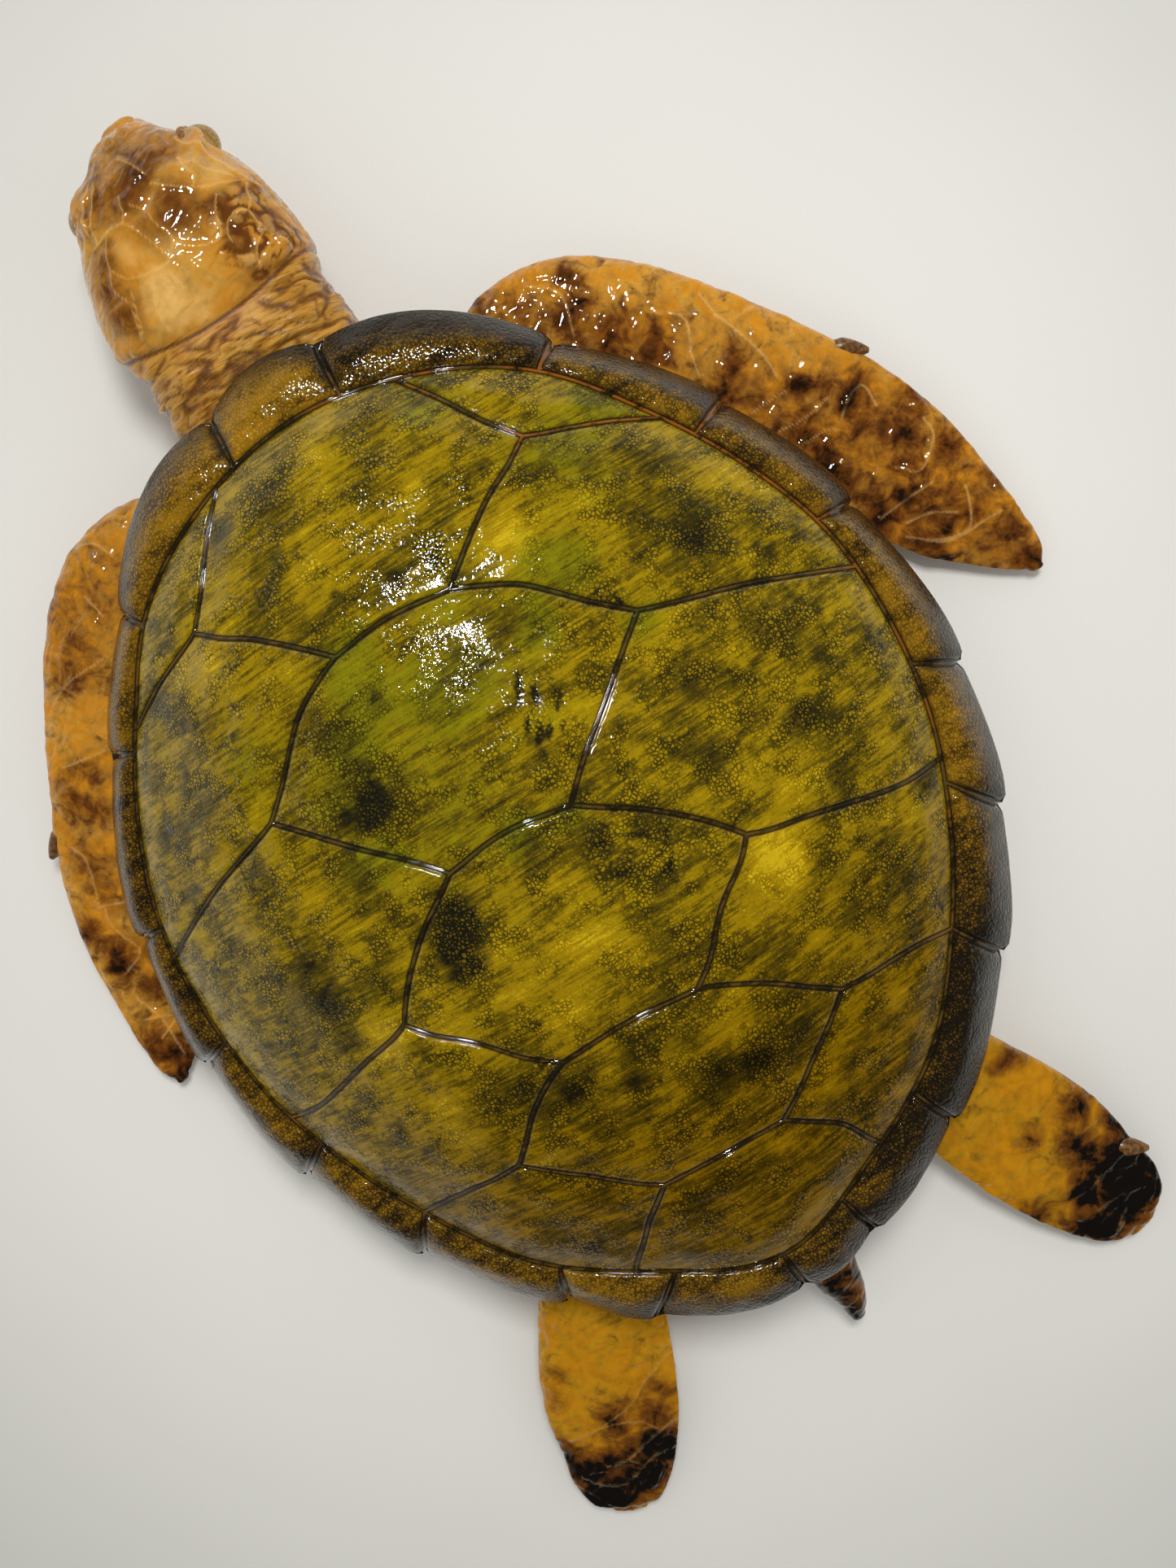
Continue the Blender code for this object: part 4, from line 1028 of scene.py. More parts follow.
def skull_relief(places, above):
    """The scales and wrinkles of the skull, and how strongly each place is a raised line or a crease."""
    drawn_lines = away_from(line_paths(HEAD_LINES), places)
    raised, line, beside = line_relief(drawn_lines, HEAD_LINE_HALF_WIDTH)
    bent = warped(places, 12 * MM, 5 * MM)
    scales = scale_edges(bent, *SKULL_SCALES)
    side_raised, side_line, beside_scale = line_relief(scales, HEAD_LINE_HALF_WIDTH)
    rough = np.clip(spots(places, HEAD_ROUGH) - spots(places, HEAD_SMOOTH), 0.12, 1.2) * above
    (large, large_creases), (small, small_creases) = [folds(bent, size) for size in SKULL_FOLDS]
    relief = raised * above + side_raised * (1 - above) * 0.8
    relief += SKULL_FOLD_RISE * rough * (large * 0.8 + small * 0.35)
    relief += 0.45 * MM * noise_at(places, 11 * MM) + 0.15 * MM * noise_at(places, 5 * MM)
    creases = np.maximum(large_creases, small_creases * 0.7) * np.clip(rough * 1.5 - 0.2, 0, 1)
    creases = np.maximum(creases, np.where(above > 0.5, 0.2 * beside, 0.4 * beside_scale))
    return relief, np.maximum(line * above, side_line * (1 - above) * 0.6), creases


def face_relief(x, y, z, above):
    """The mouth line, the folds over the eyes and the nostrils."""
    mouth_rows = [(row[0], height) for row, height in zip(HEAD_SECTIONS, MOUTH_HEIGHT)][::-1]
    mouth = np.interp(y, *zip(*mouth_rows)) + 0.03 * np.abs(x - HEAD_MIDDLE)
    from_mouth = np.where(y > MOUTH_END, z - mouth, 99)
    relief = 0.9 * MM * bell(from_mouth - 3.4, 2.2) - 1.7 * MM * bell(from_mouth, 1.3)
    for eye, (eye_x, eye_y, eye_z) in EYE_PLACES.items():
        side = math.copysign(1, eye_x - HEAD_MIDDLE)
        across, along = side * (x - eye_x) + 0.5, y - eye_y + 1
        bow = across + 0.022 * along**2
        brow = np.exp(-((along / 15) ** 4)) * smoothstep((z - eye_z) / 6)
        brow_at, brow_height = BROWS[eye]
        for at, half_width, height in ((brow_at, BROW_HALF_WIDTH, brow_height), *LID_FOLDS):
            relief += height * MM * brow * bell(bow - at, half_width)
    for nostril_x, nostril_y in NOSTRILS:
        from_hole = np.hypot(x - nostril_x, y - nostril_y)
        rim = 1.1 * bell(from_hole - NOSTRIL_RADIUS, 1.3)
        relief += above * MM * (rim - 1.4 * bell(from_hole, 1.3))
    return relief


def build_head(material):
    rings = body_rings(dense(HEAD_SECTIONS, HEAD_STEP, 1), HEAD_SIDES, HEAD_SQUARENESS)
    bm = loft(rounded_ends(rings, 4 * MM))
    places = places_of(bm)
    up = normals_of(bm)[:, 2]
    x, y, z = (places / MM).T
    above = smoothstep(up * TOP_FADE)
    behind = SKULL_END + SKULL_BEND * (x - HEAD_MIDDLE) ** 2 - y
    neck = smoothstep((behind + 3) / 4)
    skull, line, skull_creases = skull_relief(places, above)
    bent = warped(places, 16 * MM, 7 * MM)
    (fine, fine_creases), (broad, broad_creases) = [folds(bent, *fold) for fold in NECK_FOLDS]
    folded = np.clip(behind / 5, 0, 1)
    relief = skull * (1 - neck) + NECK_FOLD_RISE * (fine * 0.75 + broad * 0.8) * neck * folded
    relief += face_relief(x, y, z, above)
    # The hollow value marks where the skin gets painted shade: in the creases of folds and wrinkles, beside
    # raised lines, and along the crease between skull and neck
    neck_creases = np.maximum(fine_creases * 0.7, broad_creases * 0.9)
    hollow = skull_creases * (1 - neck) + neck_creases * neck * folded
    hollow = np.maximum(hollow, bell(behind - 0.3, 1.1))
    relief -= 1.5 * MM * bell(behind, 1.5)
    relief += 0.4 * MM * bell(behind + 5, 3) * above
    ragged = warped(places, 16 * MM, 5 * MM)
    top = smoothstep(up * 2 + 0.6)
    beak = smoothstep((y - 370) / 8)
    # The underside is made darker, except at the beak
    set_values(bm, "stain_and_shade", spots(ragged, HEAD_DARK) * top + 0.35 * (1 - top) * (1 - beak))
    set_values(bm, "pale", np.maximum(spots(ragged, HEAD_PALE) * top, beak * (1 - top) * 0.2))
    set_values(bm, "crease", line * (1 - neck))
    set_values(bm, "neck", neck)
    set_values(bm, "hollow", hollow)
    push_out(bm, relief)
    return finish_piece("head", bm, material, ("head_and_neck",))


def tube(bm, centres, sides, radius, closed):
    """A tube through the centres, square to the way they run."""
    count = len(centres)
    loops = []
    for i, centre in enumerate(centres):
        before = centres[i - 1] if closed or i else centre
        after = centres[(i + 1) % count] if closed or i < count - 1 else centre
        turn = (after - before).to_track_quat("Z", "Y").to_matrix().to_4x4()
        made = bmesh.ops.create_circle(
            bm, segments=sides, radius=radius, matrix=Matrix.Translation(centre) @ turn
        )
        loops.append(list({e for v in made["verts"] for e in v.link_edges}))
    for near, far in zip(loops, loops[1:] + (loops[:1] if closed else [])):
        bmesh.ops.bridge_loops(bm, edges=near + far)
    if not closed:
        bmesh.ops.holes_fill(bm, edges=loops[0] + loops[-1])


def build_eyes(eye_material, skin):
    for name, place in EYE_PLACES.items():
        side = math.copysign(1, place[0] - HEAD_MIDDLE)
        bm = bmesh.new()
        bmesh.ops.create_uvsphere(bm, u_segments=64, v_segments=32, radius=EYE_RADIUS)
        bmesh.ops.scale(bm, verts=bm.verts, vec=(1, 1, EYE_OPENING))
        out, ahead, up = EYE_LOOK
        look = Vector((side * out, ahead, up)).normalized()
        set_values(bm, "look", [v.co.normalized().dot(look) for v in bm.verts])
        bmesh.ops.translate(bm, verts=bm.verts, vec=Vector(place) * MM)
        finish_piece(name + "_glass", bm, eye_material, (name,))
        bm = bmesh.new()
        turn = Matrix.Rotation(side * EYELID_TILT, 4, "Y") @ Matrix.Rotation(EYELID_LEAN, 4, "X")
        frame_of_lid = Matrix.Translation(Vector(place) * MM) @ turn
        turns = [360 * i / EYELID_STEPS for i in range(EYELID_STEPS)]
        ring = [frame_of_lid @ at_angle(angle, EYELID_RING) for angle in turns]
        tube(bm, ring, 16, EYELID_THICK, closed=True)
        push_out(bm, 0.35 * MM * noise_at(places_of(bm), 3 * MM))
        for layer, value in EYELID_LOOKS.items():
            set_values(bm, layer, [value] * len(bm.verts))
        finish_piece(name + "_lid", bm, skin)


def posed(sections, pivot, turn, shift):
    """The sections turned about a pivot in the plan, then shifted."""
    spin = Matrix.Rotation(turn, 2)
    centre = Vector(pivot)
    result = []
    for lead_x, lead_y, trail_x, trail_y, height, thick in sections:
        lead = spin @ (Vector((lead_x, lead_y)) - centre) + centre + Vector(shift)
        trail = spin @ (Vector((trail_x, trail_y)) - centre) + centre + Vector(shift)
        result.append((*lead, *trail, height, thick))
    return result


def finish_limb(name, bm, material):
    """Gives a limb its scales, raised lines and blotches."""
    places = places_of(bm)
    up = normals_of(bm)[:, 2]
    above = smoothstep(up * TOP_FADE)
    raised, line, beside = 0, np.zeros(len(places)), 0
    if LIMB_LINES[name]:
        drawn_lines = away_from(line_paths(LIMB_LINES[name]), places)
        raised, line, beside = line_relief(drawn_lines, LIMB_LINE_HALF_WIDTH)
    scale_size, seed = LIMB_SCALES[name]
    edges = scale_edges(warped(places, 20 * MM, 7 * MM), scale_size, seed, (1, 1, 1.6))
    scale_raised, scale_line, beside_scale = line_relief(edges * 1.2, LIMB_SCALE_HALF_WIDTH)
    swell = np.clip(edges / (0.3 * scale_size), 0, 1) ** 0.7
    relief = raised * above + 0.6 * scale_raised + 0.8 * MM * (swell - 0.6)
    relief += MM * (0.35 * noise_at(places, 13 * MM) + 0.15 * noise_at(places, 6 * MM))
    relief += 0.3 * MM * folds(warped(places, 15 * MM, 6 * MM), 9 * MM)[0]
    relief *= 0.35 + 0.65 * np.abs(up)
    ragged = warped(places, 22 * MM, 7 * MM)
    below = 1 - smoothstep(up * 2 + 1)
    stain_and_shade = spots(ragged, LIMB_DARK[name])
    # The blotches, with the underside made darker and paler
    set_values(bm, "stain_and_shade", np.maximum(1.15 * stain_and_shade, 0.3 * below))
    set_values(bm, "pale", 0.5 * below)
    set_values(bm, "crease", np.maximum(0.8 * line * above, 0.35 * scale_line))
    set_values(bm, "neck", np.zeros(len(places)))
    # Painted shade in the hollows beside raised lines and beside the scales' borders
    set_values(bm, "hollow", np.maximum(0.5 * beside * above, 0.5 * beside_scale))
    push_out(bm, relief)
    return finish_piece(name + "_skin", bm, material, (name,))


def build_flipper(name, sections, side, material):
    rings = flipper_rings(dense(sections, FLIPPER_STEP, 4), FLIPPER_SIDES, side)
    finish_limb(name, loft(rounded_ends(rings, 3 * MM)), material)


def build_claw(flipper, place, side, material):
    """A claw that is thinner at its root, in the flipper, and thinnest at its tip."""
    bm = bmesh.new()
    out, back, down = CLAW_DIRECTION
    direction = Vector((side * out, -back, -down)).normalized()
    length = CLAW_LENGTH + CLAW_ROOT
    x, y, z = place
    start = Vector((side * x, y, z)) * MM - direction * (length - CLAW_LENGTH / 2)
    centres = [start + direction * length * i / CLAW_STEPS for i in range(CLAW_STEPS + 1)]
    tube(bm, centres, 24, CLAW_RADIUS, closed=False)
    for vert in bm.verts:
        share = (vert.co - start).dot(direction) / length
        middle = start + direction * length * share
        taper = min(1, 0.3 + 1.8 * share) * (1 - 0.75 * max(0, share) ** 3)
        vert.co = middle + (vert.co - middle) * taper
    finish_piece(flipper + "_claw", bm, material)


def build_limbs(skin, hind_skin, claw):
    build_flipper("front_flipper_right", FRONT_SECTIONS, 1, skin)
    build_claw("front_flipper_right", FRONT_CLAW, 1, claw)
    left = posed(FRONT_SECTIONS, FRONT_PIVOT, -LEFT_TUCK, LEFT_TUCK_SHIFT)
    claw_row = [(*FRONT_CLAW[:2], 0, 0, FRONT_CLAW[2], 0)]
    x, y, _, _, z, _ = posed(claw_row, FRONT_PIVOT, -LEFT_TUCK, LEFT_TUCK_SHIFT)[0]
    build_flipper("front_flipper_left", left, -1, skin)
    build_claw("front_flipper_left", (x, y, z), -1, claw)
    build_flipper("hind_flipper_right", HIND_SECTIONS, 1, hind_skin)
    build_claw("hind_flipper_right", HIND_CLAW, 1, claw)
    build_flipper("hind_flipper_left", posed(HIND_SECTIONS, (0, 0), 0, HIND_LEFT_SHIFT), -1, hind_skin)
    rings = body_rings(dense(TAIL_SECTIONS, TAIL_STEP, 1), TAIL_SIDES, 2.0)
    finish_limb("tail", loft(rounded_ends(rings, 3 * MM)), hind_skin)


# Materials


class Value:
    """A socket that arithmetic works on."""

    def __init__(self, nodes, socket):
        self.nodes = nodes
        self.socket = socket

    def join(self, operation, other, swapped=False):
        first, second = (other, self) if swapped else (self, other)
        return self.nodes.node("ShaderNodeMath", {"operation": operation}, {0: first, 1: second})

    def __add__(self, other):
        return self.join("ADD", other)

    __radd__ = __add__

    def __sub__(self, other):
        return self.join("SUBTRACT", other)

    def __rsub__(self, other):
        return self.join("SUBTRACT", other, swapped=True)

    def __mul__(self, other):
        return self.join("MULTIPLY", other)

    __rmul__ = __mul__

    def __pow__(self, other):
        return self.join("POWER", other)


class Nodes:
    """The nodes of a material or of the room, each made by node()."""

    def __init__(self, tree):
        self.tree = tree

    def feed(self, socket, value):
        if isinstance(value, Value):
            self.tree.links.new(value.socket, socket)
        else:
            socket.default_value = value

    def node(self, kind, settings=None, sockets=None, output=0):
        made = self.tree.nodes.new(kind)
        for name, value in (settings or {}).items():
            setattr(made, name, value)
        for name, value in (sockets or {}).items():
            self.feed(made.inputs[name], value)
        return Value(self, made.outputs[output])


class Paint(Nodes):
    """One material."""

    def __init__(self, name, **settings):
        self.material = bpy.data.materials.new(name)
        self.material.use_nodes = True
        super().__init__(self.material.node_tree)
        self.shader = self.tree.nodes["Principled BSDF"]
        for name, value in settings.items():
            socket = name.replace("_", " ").title().replace("Ior", "IOR")
            self.shader.inputs[socket].default_value = value

    def finish(self, **sockets):
        for name, value in sockets.items():
            self.feed(self.shader.inputs[name.replace("_", " ").title()], value)
        return self.material

    def place(self, turn=0, stretch=(1, 1, 1)):
        """Centimetres from the shell's centre, turned in the plan and then stretched."""
        where = self.node("ShaderNodeTexCoord", output="Object")
        spin = Matrix.Rotation(-turn, 3, "Z")
        turned = self.node("ShaderNodeMapping", {}, {
            "Vector": where, "Location": tuple(-100 * (spin @ SHELL_PLACE)), "Rotation": (0, 0, -turn),
            "Scale": (100, 100, 100),
        })
        return self.node("ShaderNodeMapping", {}, {"Vector": turned, "Scale": tuple(1 / s for s in stretch)})

    def attribute(self, name):
        return self.node("ShaderNodeAttribute", {"attribute_name": name}, output="Fac")

    def noise(self, where, scale, detail=3, roughness=0.55, distortion=0):
        return self.node("ShaderNodeTexNoise", {}, {
            "Vector": where, "Scale": scale, "Detail": detail, "Roughness": roughness,
            "Distortion": distortion,
        })

    def cells(self, where, scale, feature="F1"):
        sockets = {"Vector": where, "Scale": scale, "Randomness": 1}
        return self.node("ShaderNodeTexVoronoi", {"feature": feature}, sockets, "Distance")

    def rise(self, value, low, high):
        """0 below low, 1 above high and smooth between, or the other way round."""
        return self.node("ShaderNodeMapRange", {"interpolation_type": "SMOOTHSTEP"}, {
            "Value": value, "From Min": low, "From Max": high,
        })

    def mix(self, share, first, second, blend="MIX"):
        settings = {"data_type": "RGBA", "blend_type": blend, "clamp_factor": True}
        colours = {6: first if isinstance(first, Value) else (*first, 1),
                   7: second if isinstance(second, Value) else (*second, 1)}
        return self.node("ShaderNodeMix", settings, {0: share, **colours}, 2)

    def most(self, first, second):
        return self.node("ShaderNodeMath", {"operation": "MAXIMUM"}, {0: first, 1: second})

    def bump(self, height, distance, below=None):
        """A relief in which a height of 1 stands this many metres out."""
        sockets = {"Height": height, "Distance": distance, "Strength": 1}
        if below:
            sockets["Normal"] = below
        return self.node("ShaderNodeBump", {}, sockets)


# The shell's colours
DEEP_OLIVE = (0.035, 0.027, 0.005)
OLIVE = (0.11, 0.077, 0.004)
GOLD = (0.34, 0.222, 0.004)
BRIGHT_GOLD = (0.68, 0.46, 0.012)
GREEN = (0.2, 0.2, 0.004)
STAIN = (0.009, 0.0085, 0.006)
SEAM_BROWN = (0.12, 0.068, 0.018)
SEAM_ORANGE = (0.32, 0.1, 0.012)
SEAM_GREEN = (0.07, 0.085, 0.01)
SEAM_DARK = (0.012, 0.009, 0.006)
RIM_DARK = (0.012, 0.009, 0.006)
RIM_BROWN = (0.085, 0.045, 0.006)
RIM_GOLD = (0.28, 0.148, 0.008)
RIM_AMBER = (0.5, 0.23, 0.02)
REAR_TINT = (0.66, 0.54, 0.3)  # what the colours are multiplied by at the tail end


def shades(paint, tone, colours):
    """Four colours, from dark to light, as a tone goes from 0 to above 1."""
    darkest, dark, light, lightest = colours
    colour = paint.mix(paint.rise(tone, -0.1, 0.35), darkest, dark)
    colour = paint.mix(paint.rise(tone, 0.25, 0.8), colour, light)
    return paint.mix(paint.rise(tone, 0.8, 1.4), colour, lightest)


def shell_material():
    paint = Paint("varnished_shell", roughness=0.15, ior=1.5, specular_ior_level=0.5)
    place = paint.place()
    seam = paint.attribute("seam")
    across = paint.attribute("across")
    # This attribute holds the dark stains and also the painted shade in the wrinkles' valleys
    stain_and_shade_spot = paint.attribute("stain_and_shade")
    warm = paint.attribute("warm")
    rear = paint.rise(paint.node("ShaderNodeSeparateXYZ", {}, {0: place}, 1), -2, -19)
    broad = paint.noise(place, 0.42, detail=4, roughness=0.6)
    cloud = paint.noise(paint.place(0.05, (2.8, 0.62, 1)), 1, detail=4, roughness=0.6, distortion=0.3)
    mottle = paint.noise(place, 3.0, detail=6, roughness=0.75)
    strokes = paint.noise(paint.place(0.06, (2.2, 0.16, 1)), 1, detail=4, roughness=0.65, distortion=0.3)
    hairs = paint.noise(paint.place(-0.04, (1.6, 0.05, 1)), 1, detail=2, roughness=0.6)
    drift = paint.node("ShaderNodeTexNoise", {}, {"Vector": place, "Scale": 2.5}, 1)
    shift = {0: drift, 1: (0.2,) * 3, 2: place}
    bent = paint.node("ShaderNodeVectorMath", {"operation": "MULTIPLY_ADD"}, shift)
    pebble = paint.rise(paint.cells(bent, 5.6, "DISTANCE_TO_EDGE"), 0.02, 0.3)
    dome = 1 - paint.cells(bent, 5.6) ** 2
    pebbled = paint.rise(paint.noise(place, 0.8, detail=4, roughness=0.6) + stain_and_shade_spot * 0.1, 0.46, 0.64)
    brushed = 1 - pebbled * 0.6
    tone = 0.52 + (broad - 0.5) * 1.5 + (cloud - 0.5) * 1.3 + (mottle - 0.5) * 0.8
    tone = tone + ((strokes - 0.5) * 1.4 + (hairs - 0.5) * 0.6) * brushed
    tone = tone + paint.attribute("gold") * 0.45 - stain_and_shade_spot * 0.3
    tone = tone + (pebble - 0.6) * (pebbled * 0.6 + 0.12)
    colour = shades(paint, tone, (DEEP_OLIVE, OLIVE, GOLD, BRIGHT_GOLD))
    greenish = paint.rise(paint.attribute("green") + (broad - 0.5) * 0.9 + (cloud - 0.5) * 0.5, 0.05, 0.7)
    green = paint.mix(paint.rise(tone, -0.1, 1.0), DEEP_OLIVE, GREEN)
    colour = paint.mix(greenish * 0.8, colour, green)
    # Dark stains, with the painted shade of the wrinkles' valleys among them
    stain_and_shade = paint.rise(stain_and_shade_spot + (mottle - 0.5) * 0.9 + (cloud - 0.5) * 1.1, 0.45, 0.95)
    colour = paint.mix(stain_and_shade * (0.96 - 0.4 * pebble * pebbled), colour, STAIN)
    colour = paint.mix(rear, colour, REAR_TINT, "MULTIPLY")
    rim_base = paint.attribute("rim_tone")
    rim_tone = rim_base + 0.06 + (broad - 0.5) * 1.2 + (cloud - 0.5) * 1.3 + (strokes - 0.5) * 0.3
    rim_tone = rim_tone + (mottle - 0.5) * 0.9 + (pebble - 0.6) * 0.45
    rim = shades(paint, rim_tone, (RIM_DARK, RIM_BROWN, RIM_GOLD, RIM_AMBER))
    outer = across - rim_base * 0.5 + (mottle - 0.5) * 0.5 + (broad - 0.5) * 0.6 + stain_and_shade * 0.35
    outer = paint.rise(outer, 0.2, 0.72)
    border = paint.rise(seam + (mottle - 0.5) * 4, 7, 1.5) * paint.rise(across, 0.05, 0.35)
    rim = paint.mix(paint.most(paint.most(outer * 0.93, stain_and_shade), border * 0.8), rim, RIM_DARK)
    colour = paint.mix(paint.rise(across, 0.0, 0.02), colour, rim)
    thread = paint.mix(paint.rise(warm + (mottle - 0.5) * 0.6, 0.3, 0.8), SEAM_BROWN, SEAM_ORANGE)
    thread = paint.mix(greenish * paint.rise(warm, 0.5, 0.2), thread, SEAM_GREEN)
    colour = paint.mix(paint.rise(seam, 1.6, 1.05) * 0.92, colour, SEAM_DARK)
    shown = paint.rise(cloud * 0.6 + mottle * 0.4 + warm * 0.06, 0.45, 0.58)
    colour = paint.mix(paint.rise(seam + (mottle - 0.5) * 0.8, 0.85, 0.45) * shown * 0.85, colour, thread)
    smooth = paint.rise(seam, 1.4, 2.6)
    lumpy = paint.most(0.2 + 0.8 * pebbled, paint.rise(across, 0, 0.1) * 0.9)
    relief = paint.bump(dome * lumpy * smooth, 0.00026)
    relief = paint.bump(strokes, 0.00006, relief)
    return paint.finish(base_color=colour, roughness=0.03 + 0.05 * mottle, normal=relief)


# How smoky each skin is, how much painted shade its creases and hollows get, and its colours
SKINS = {
    "varnished_skin": {
        "smoky": 0.78, "crease_shade": 0.12,
        "amber": (0.66, 0.27, 0.018), "honey": (0.95, 0.51, 0.08), "pale": (0.9, 0.58, 0.22),
        "brown": (0.13, 0.036, 0.007), "black": (0.016, 0.008, 0.004),
    },
    "varnished_hind_skin": {
        "smoky": 0.7, "crease_shade": 0.15,
        "amber": (0.56, 0.24, 0.008), "honey": (0.7, 0.38, 0.014), "pale": (0.6, 0.34, 0.08),
        "brown": (0.14, 0.045, 0.008), "black": (0.008, 0.006, 0.005),
    },
    "varnished_head": {
        "smoky": 0.5, "crease_shade": 0.95,
        "amber": (0.62, 0.27, 0.03), "honey": (0.82, 0.45, 0.08), "pale": (0.9, 0.53, 0.15),
        "brown": (0.13, 0.04, 0.008), "black": (0.05, 0.02, 0.008),
    },
}


def skin_material(name, smoky, crease_shade, amber, honey, pale, brown, black):
    paint = Paint(name, roughness=0.15, ior=1.5, specular_ior_level=0.5)
    place = paint.place()
    crease = paint.attribute("crease")
    neck = paint.attribute("neck")
    hollow = paint.attribute("hollow")
    broad = paint.noise(place, 0.5, detail=2, roughness=0.5, distortion=0.8)
    marble = paint.noise(place, 0.9, detail=2.5, roughness=0.5, distortion=1.2)
    veins = paint.noise(place, 1.8, detail=2, roughness=0.5, distortion=2.2)
    fine = paint.noise(place, 7, detail=4, roughness=0.65)
    fibres = paint.noise(paint.place(0, (1.3, 0.14, 1.3)), 1, detail=5, roughness=0.65, distortion=0.8)
    wisps = (marble - 0.5) * 2.3 + (broad - 0.5) * 1.6 + (veins - 0.5) * 0.9
    smoke = paint.attribute("stain_and_shade") + wisps * smoky
    # Painted shade: the hollows add to the smoke here and take from the pale share below
    smoke = smoke * (1 - neck * 0.85) + hollow * 0.2
    tone = 0.55 + (marble - 0.5) * 1.0 + (broad - 0.5) * 1.2 + (veins - 0.5) * 0.4 + (fine - 0.5) * 0.3
    colour = paint.mix(paint.rise(tone, 0.36, 0.82), amber, honey)
    pale_share = paint.rise(paint.attribute("pale") + (marble - 0.5) * 0.8 - hollow * 0.3, 0.25, 1.0)
    colour = paint.mix(pale_share, colour, pale)
    colour = paint.mix(neck * 0.3, colour, amber)
    colour = paint.mix(paint.rise(fibres, 0.46, 0.6) * neck * 0.85, colour, honey)
    colour = paint.mix(paint.rise(fibres, 0.44, 0.34) * neck * 0.65, colour, brown)
    # Painted shade: brown in the creases and in the hollows beside raised lines
    shaded_creases = paint.rise(hollow * (1 - neck * 0.2) + (fine - 0.5) * 0.5, 0.15, 0.85)
    colour = paint.mix(shaded_creases * crease_shade, colour, brown)
    colour = paint.mix(paint.rise(smoke, -0.35, 0.9) * (0.97 - 0.4 * pale_share), colour, brown)
    colour = paint.mix(paint.rise(smoke, 0.7, 1.35), colour, black)
    line = paint.rise(crease + (fine - 0.5) * 0.5, 0.35, 0.95)
    colour = paint.mix(line * 0.35 * paint.rise(smoke, 1.6, 0.8), colour, pale)
    ripple = paint.noise(paint.place(0.52, (1.5, 0.7, 1.5)), 1, detail=1, distortion=0.8)
    relief = paint.bump(ripple + fibres * neck * 0.45, 0.0018)
    return paint.finish(base_color=colour, roughness=0.02 + 0.04 * fine, normal=relief)


def claw_material():
    paint = Paint("dark_claw", roughness=0.3, ior=1.5)
    grain = paint.noise(paint.place(), 4, detail=4)
    colour = paint.mix(paint.rise(grain, 0.4, 0.65), (0.1, 0.045, 0.014), (0.24, 0.11, 0.03))
    return paint.finish(base_color=colour, roughness=0.22 + 0.2 * grain)


def eye_material():
    paint = Paint("eye_glass", roughness=0.05, ior=1.5, coat_weight=1, coat_roughness=0.02)
    look = paint.attribute("look")
    grain = paint.noise(paint.place(), 9, detail=4)
    iris = paint.mix(paint.rise(grain, 0.35, 0.65), (0.24, 0.14, 0.045), (0.4, 0.26, 0.09))
    iris = paint.mix(paint.rise(look, 0.45, 0.2), iris, (0.4, 0.28, 0.11))
    colour = paint.mix(paint.rise(look, 0.9, 0.93), iris, (0.006, 0.005, 0.004))
    return paint.finish(base_color=colour, roughness=0.05 + 0.02 * grain)


def belly_material():
    paint = Paint("belly_plate", roughness=0.3, ior=1.5, coat_weight=0.3, coat_roughness=0.12)
    place = paint.place()
    broad = paint.noise(place, 0.3, detail=4)
    marble = paint.noise(place, 1.6, detail=6, roughness=0.65, distortion=0.8)
    grain = paint.noise(place, 9, detail=3)
    colour = paint.mix(paint.rise(marble, 0.35, 0.7), (0.48, 0.33, 0.11), (0.62, 0.48, 0.22))
    colour = paint.mix(paint.rise(broad * 0.6 + marble * 0.5, 0.6, 0.8) * 0.6, colour, (0.2, 0.1, 0.03))
    relief = paint.bump(marble * 0.6 + grain * 0.4, 0.0003)
    return paint.finish(base_color=colour, roughness=0.26 + 0.15 * grain, normal=relief)


def floor_material():
    paint = Paint("pale_floor", roughness=0.75, ior=1.45)
    place = paint.place()
    grain = paint.noise(place, 6, detail=4)
    away = paint.node("ShaderNodeVectorMath", {"operation": "LENGTH"}, {0: place}, "Value")
    # Painted pool of light: the floor is light near the turtle and darkens further out
    far = paint.rise(away + 6 * paint.noise(place, 0.05, detail=3), 20, 75)
    colour = paint.mix(far, (0.87, 0.865, 0.835), (0.53, 0.53, 0.505))
    relief = paint.bump(grain, 0.0001)
    return paint.finish(base_color=colour, roughness=0.7 + 0.1 * grain, normal=relief)


# Floor, light and camera


def build_stage():
    bm = bmesh.new()
    bmesh.ops.create_grid(bm, x_segments=4, y_segments=4, size=FLOOR_REACH)
    mesh = bpy.data.meshes.new("floor")
    bm.to_mesh(mesh)
    bm.free()
    mesh.materials.append(floor_material())
    floor = bpy.data.objects.new("floor", mesh)
    bpy.context.scene.collection.objects.link(floor)
    bpy.context.scene.world = soft_surroundings()
    for name, settings in LAMPS.items():
        add_light(name, *settings)


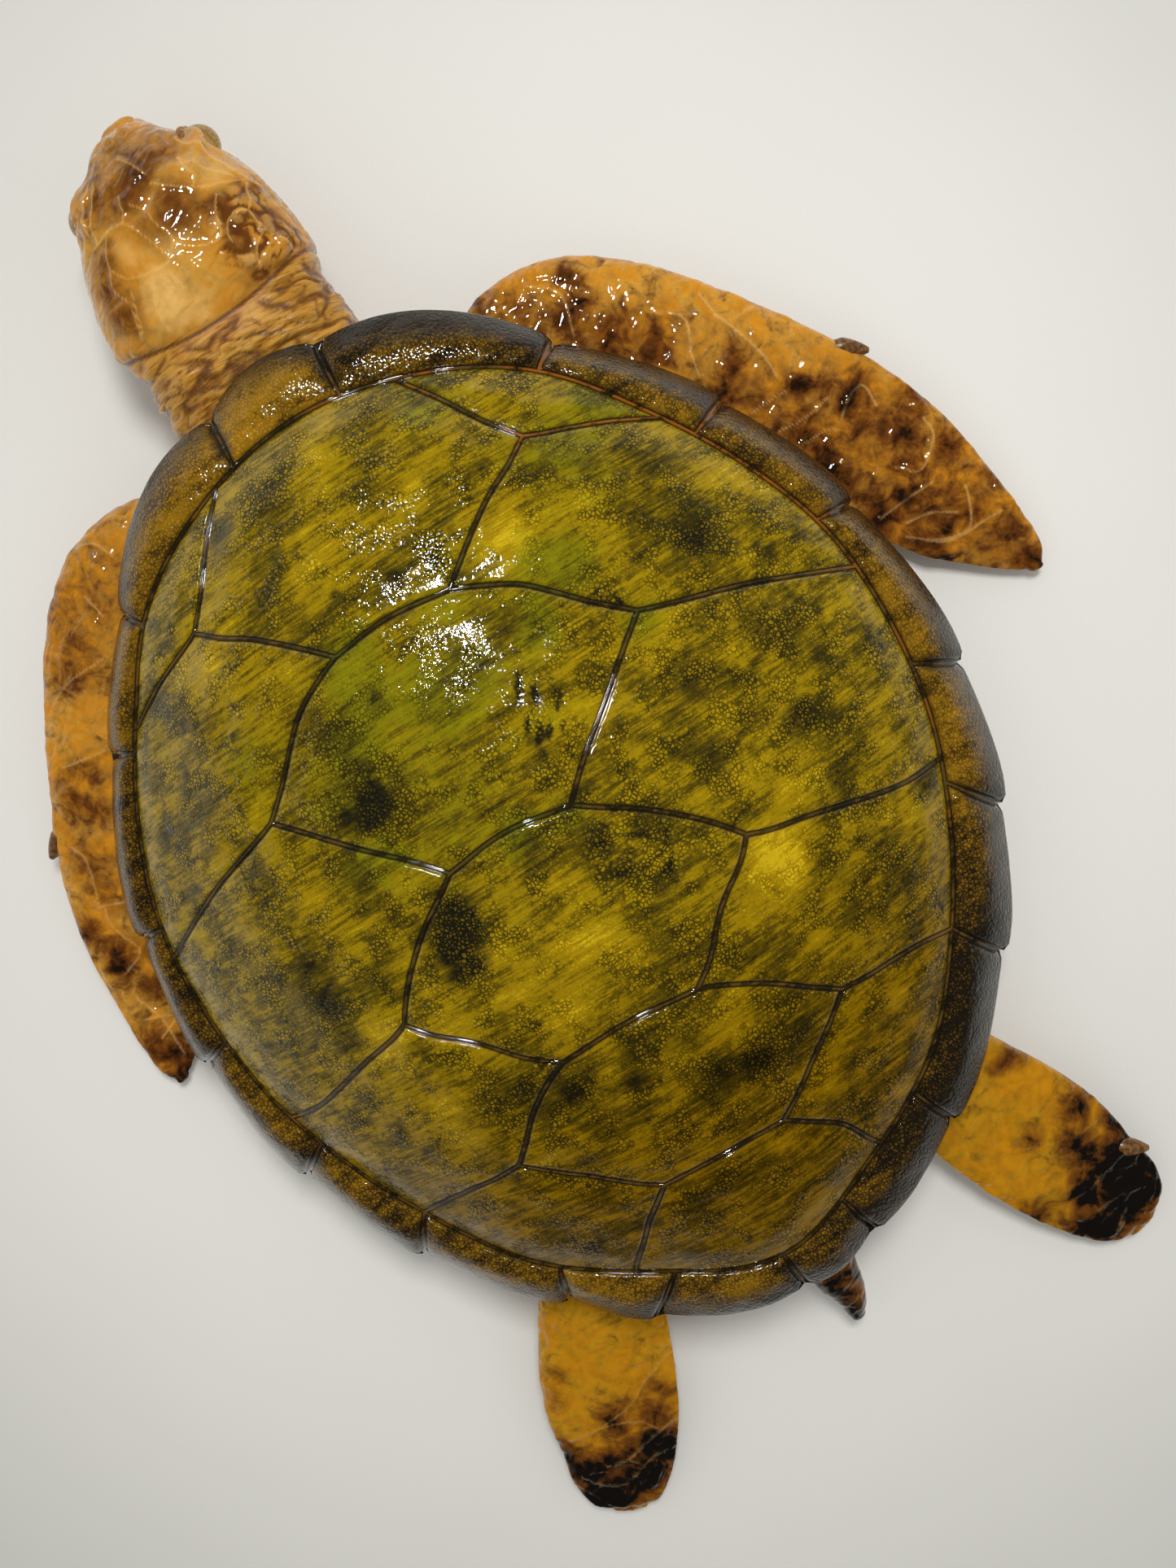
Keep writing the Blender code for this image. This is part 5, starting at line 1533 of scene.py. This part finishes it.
def soft_surroundings():
    """A pale room, brighter towards its walls than overhead. The varnish mirrors one side of it."""
    world = bpy.data.worlds.new("soft_surroundings")
    world.use_nodes = True
    room = Nodes(world.node_tree)
    where = room.node("ShaderNodeTexCoord", output="Generated")
    height = room.node("ShaderNodeSeparateXYZ", {}, {0: where}, "Z")

    def spread(value, low, high, at_low, at_high):
        return room.node("ShaderNodeMapRange", {}, {
            "Value": value, "From Min": low, "From Max": high, "To Min": at_low, "To Max": at_high,
        })

    lit = spread(height, 0, 1, WALL_LIGHT, CEILING_LIGHT)
    sides = {0: where, 1: BRIGHT_SIDE}
    facing = room.node("ShaderNodeVectorMath", {"operation": "DOT_PRODUCT"}, sides, "Value")
    mirrored_room = spread(height, 0, WALL_TOP, WALL_REFLECTION, CEILING_REFLECTION)
    mirrored_room = mirrored_room * spread(facing, DIM_SIDE_END, 1, DIM_SIDE_SHARE, 1)
    glossy = room.node("ShaderNodeLightPath", output="Is Glossy Ray")
    strength = room.node("ShaderNodeMix", {}, {"Factor": glossy, "A": lit, "B": mirrored_room})
    background = room.tree.nodes["Background"]
    room.feed(background.inputs["Color"], (*ROOM_COLOUR, 1))
    room.feed(background.inputs["Strength"], strength)
    return world


def add_light(name, place, size, power, hidden_from):
    """A square lamp, which lights the colours or is mirrored in the varnish, but not both."""
    light = bpy.data.lights.new(name, "AREA")
    light.shape = "SQUARE"
    light.size = size
    light.energy = power
    light.color = LAMP_COLOUR
    lamp = bpy.data.objects.new(name, light)
    lamp.location = SHELL_PLACE + Vector(place)
    setattr(lamp, hidden_from, False)
    lamp.rotation_euler = (-Vector(place)).to_track_quat("-Z", "Y").to_euler()
    bpy.context.scene.collection.objects.link(lamp)


def build_camera():
    data = bpy.data.cameras.new("camera")
    data.sensor_fit = "VERTICAL"
    data.sensor_height = CAMERA_SENSOR
    data.lens = CAMERA_SENSOR / 2 / math.tan(CAMERA_HEIGHT_ANGLE / 2)
    data.clip_start = 0.01
    right = Vector(CAMERA_RIGHT).normalized()
    back = right.cross(Vector(CAMERA_UP)).normalized()
    up = back.cross(right)
    camera = bpy.data.objects.new("camera", data)
    camera.matrix_world = Matrix.Translation(SHELL_PLACE + Vector(CAMERA_PLACE)) @ Matrix(
        (right, up, back)).transposed().to_4x4()
    bpy.context.scene.collection.objects.link(camera)
    bpy.context.scene.camera = camera


def main():
    bpy.context.scene.view_settings.view_transform = "Standard"
    build_camera()
    skin, hind_skin, head_skin = (skin_material(name, **looks) for name, looks in SKINS.items())
    build_shell(shell_material())
    build_head(head_skin)
    build_eyes(eye_material(), head_skin)
    build_limbs(skin, hind_skin, claw_material())
    belly = belly_material()
    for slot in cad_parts["plastron"].material_slots:
        slot.material = belly
    build_stage()


main()
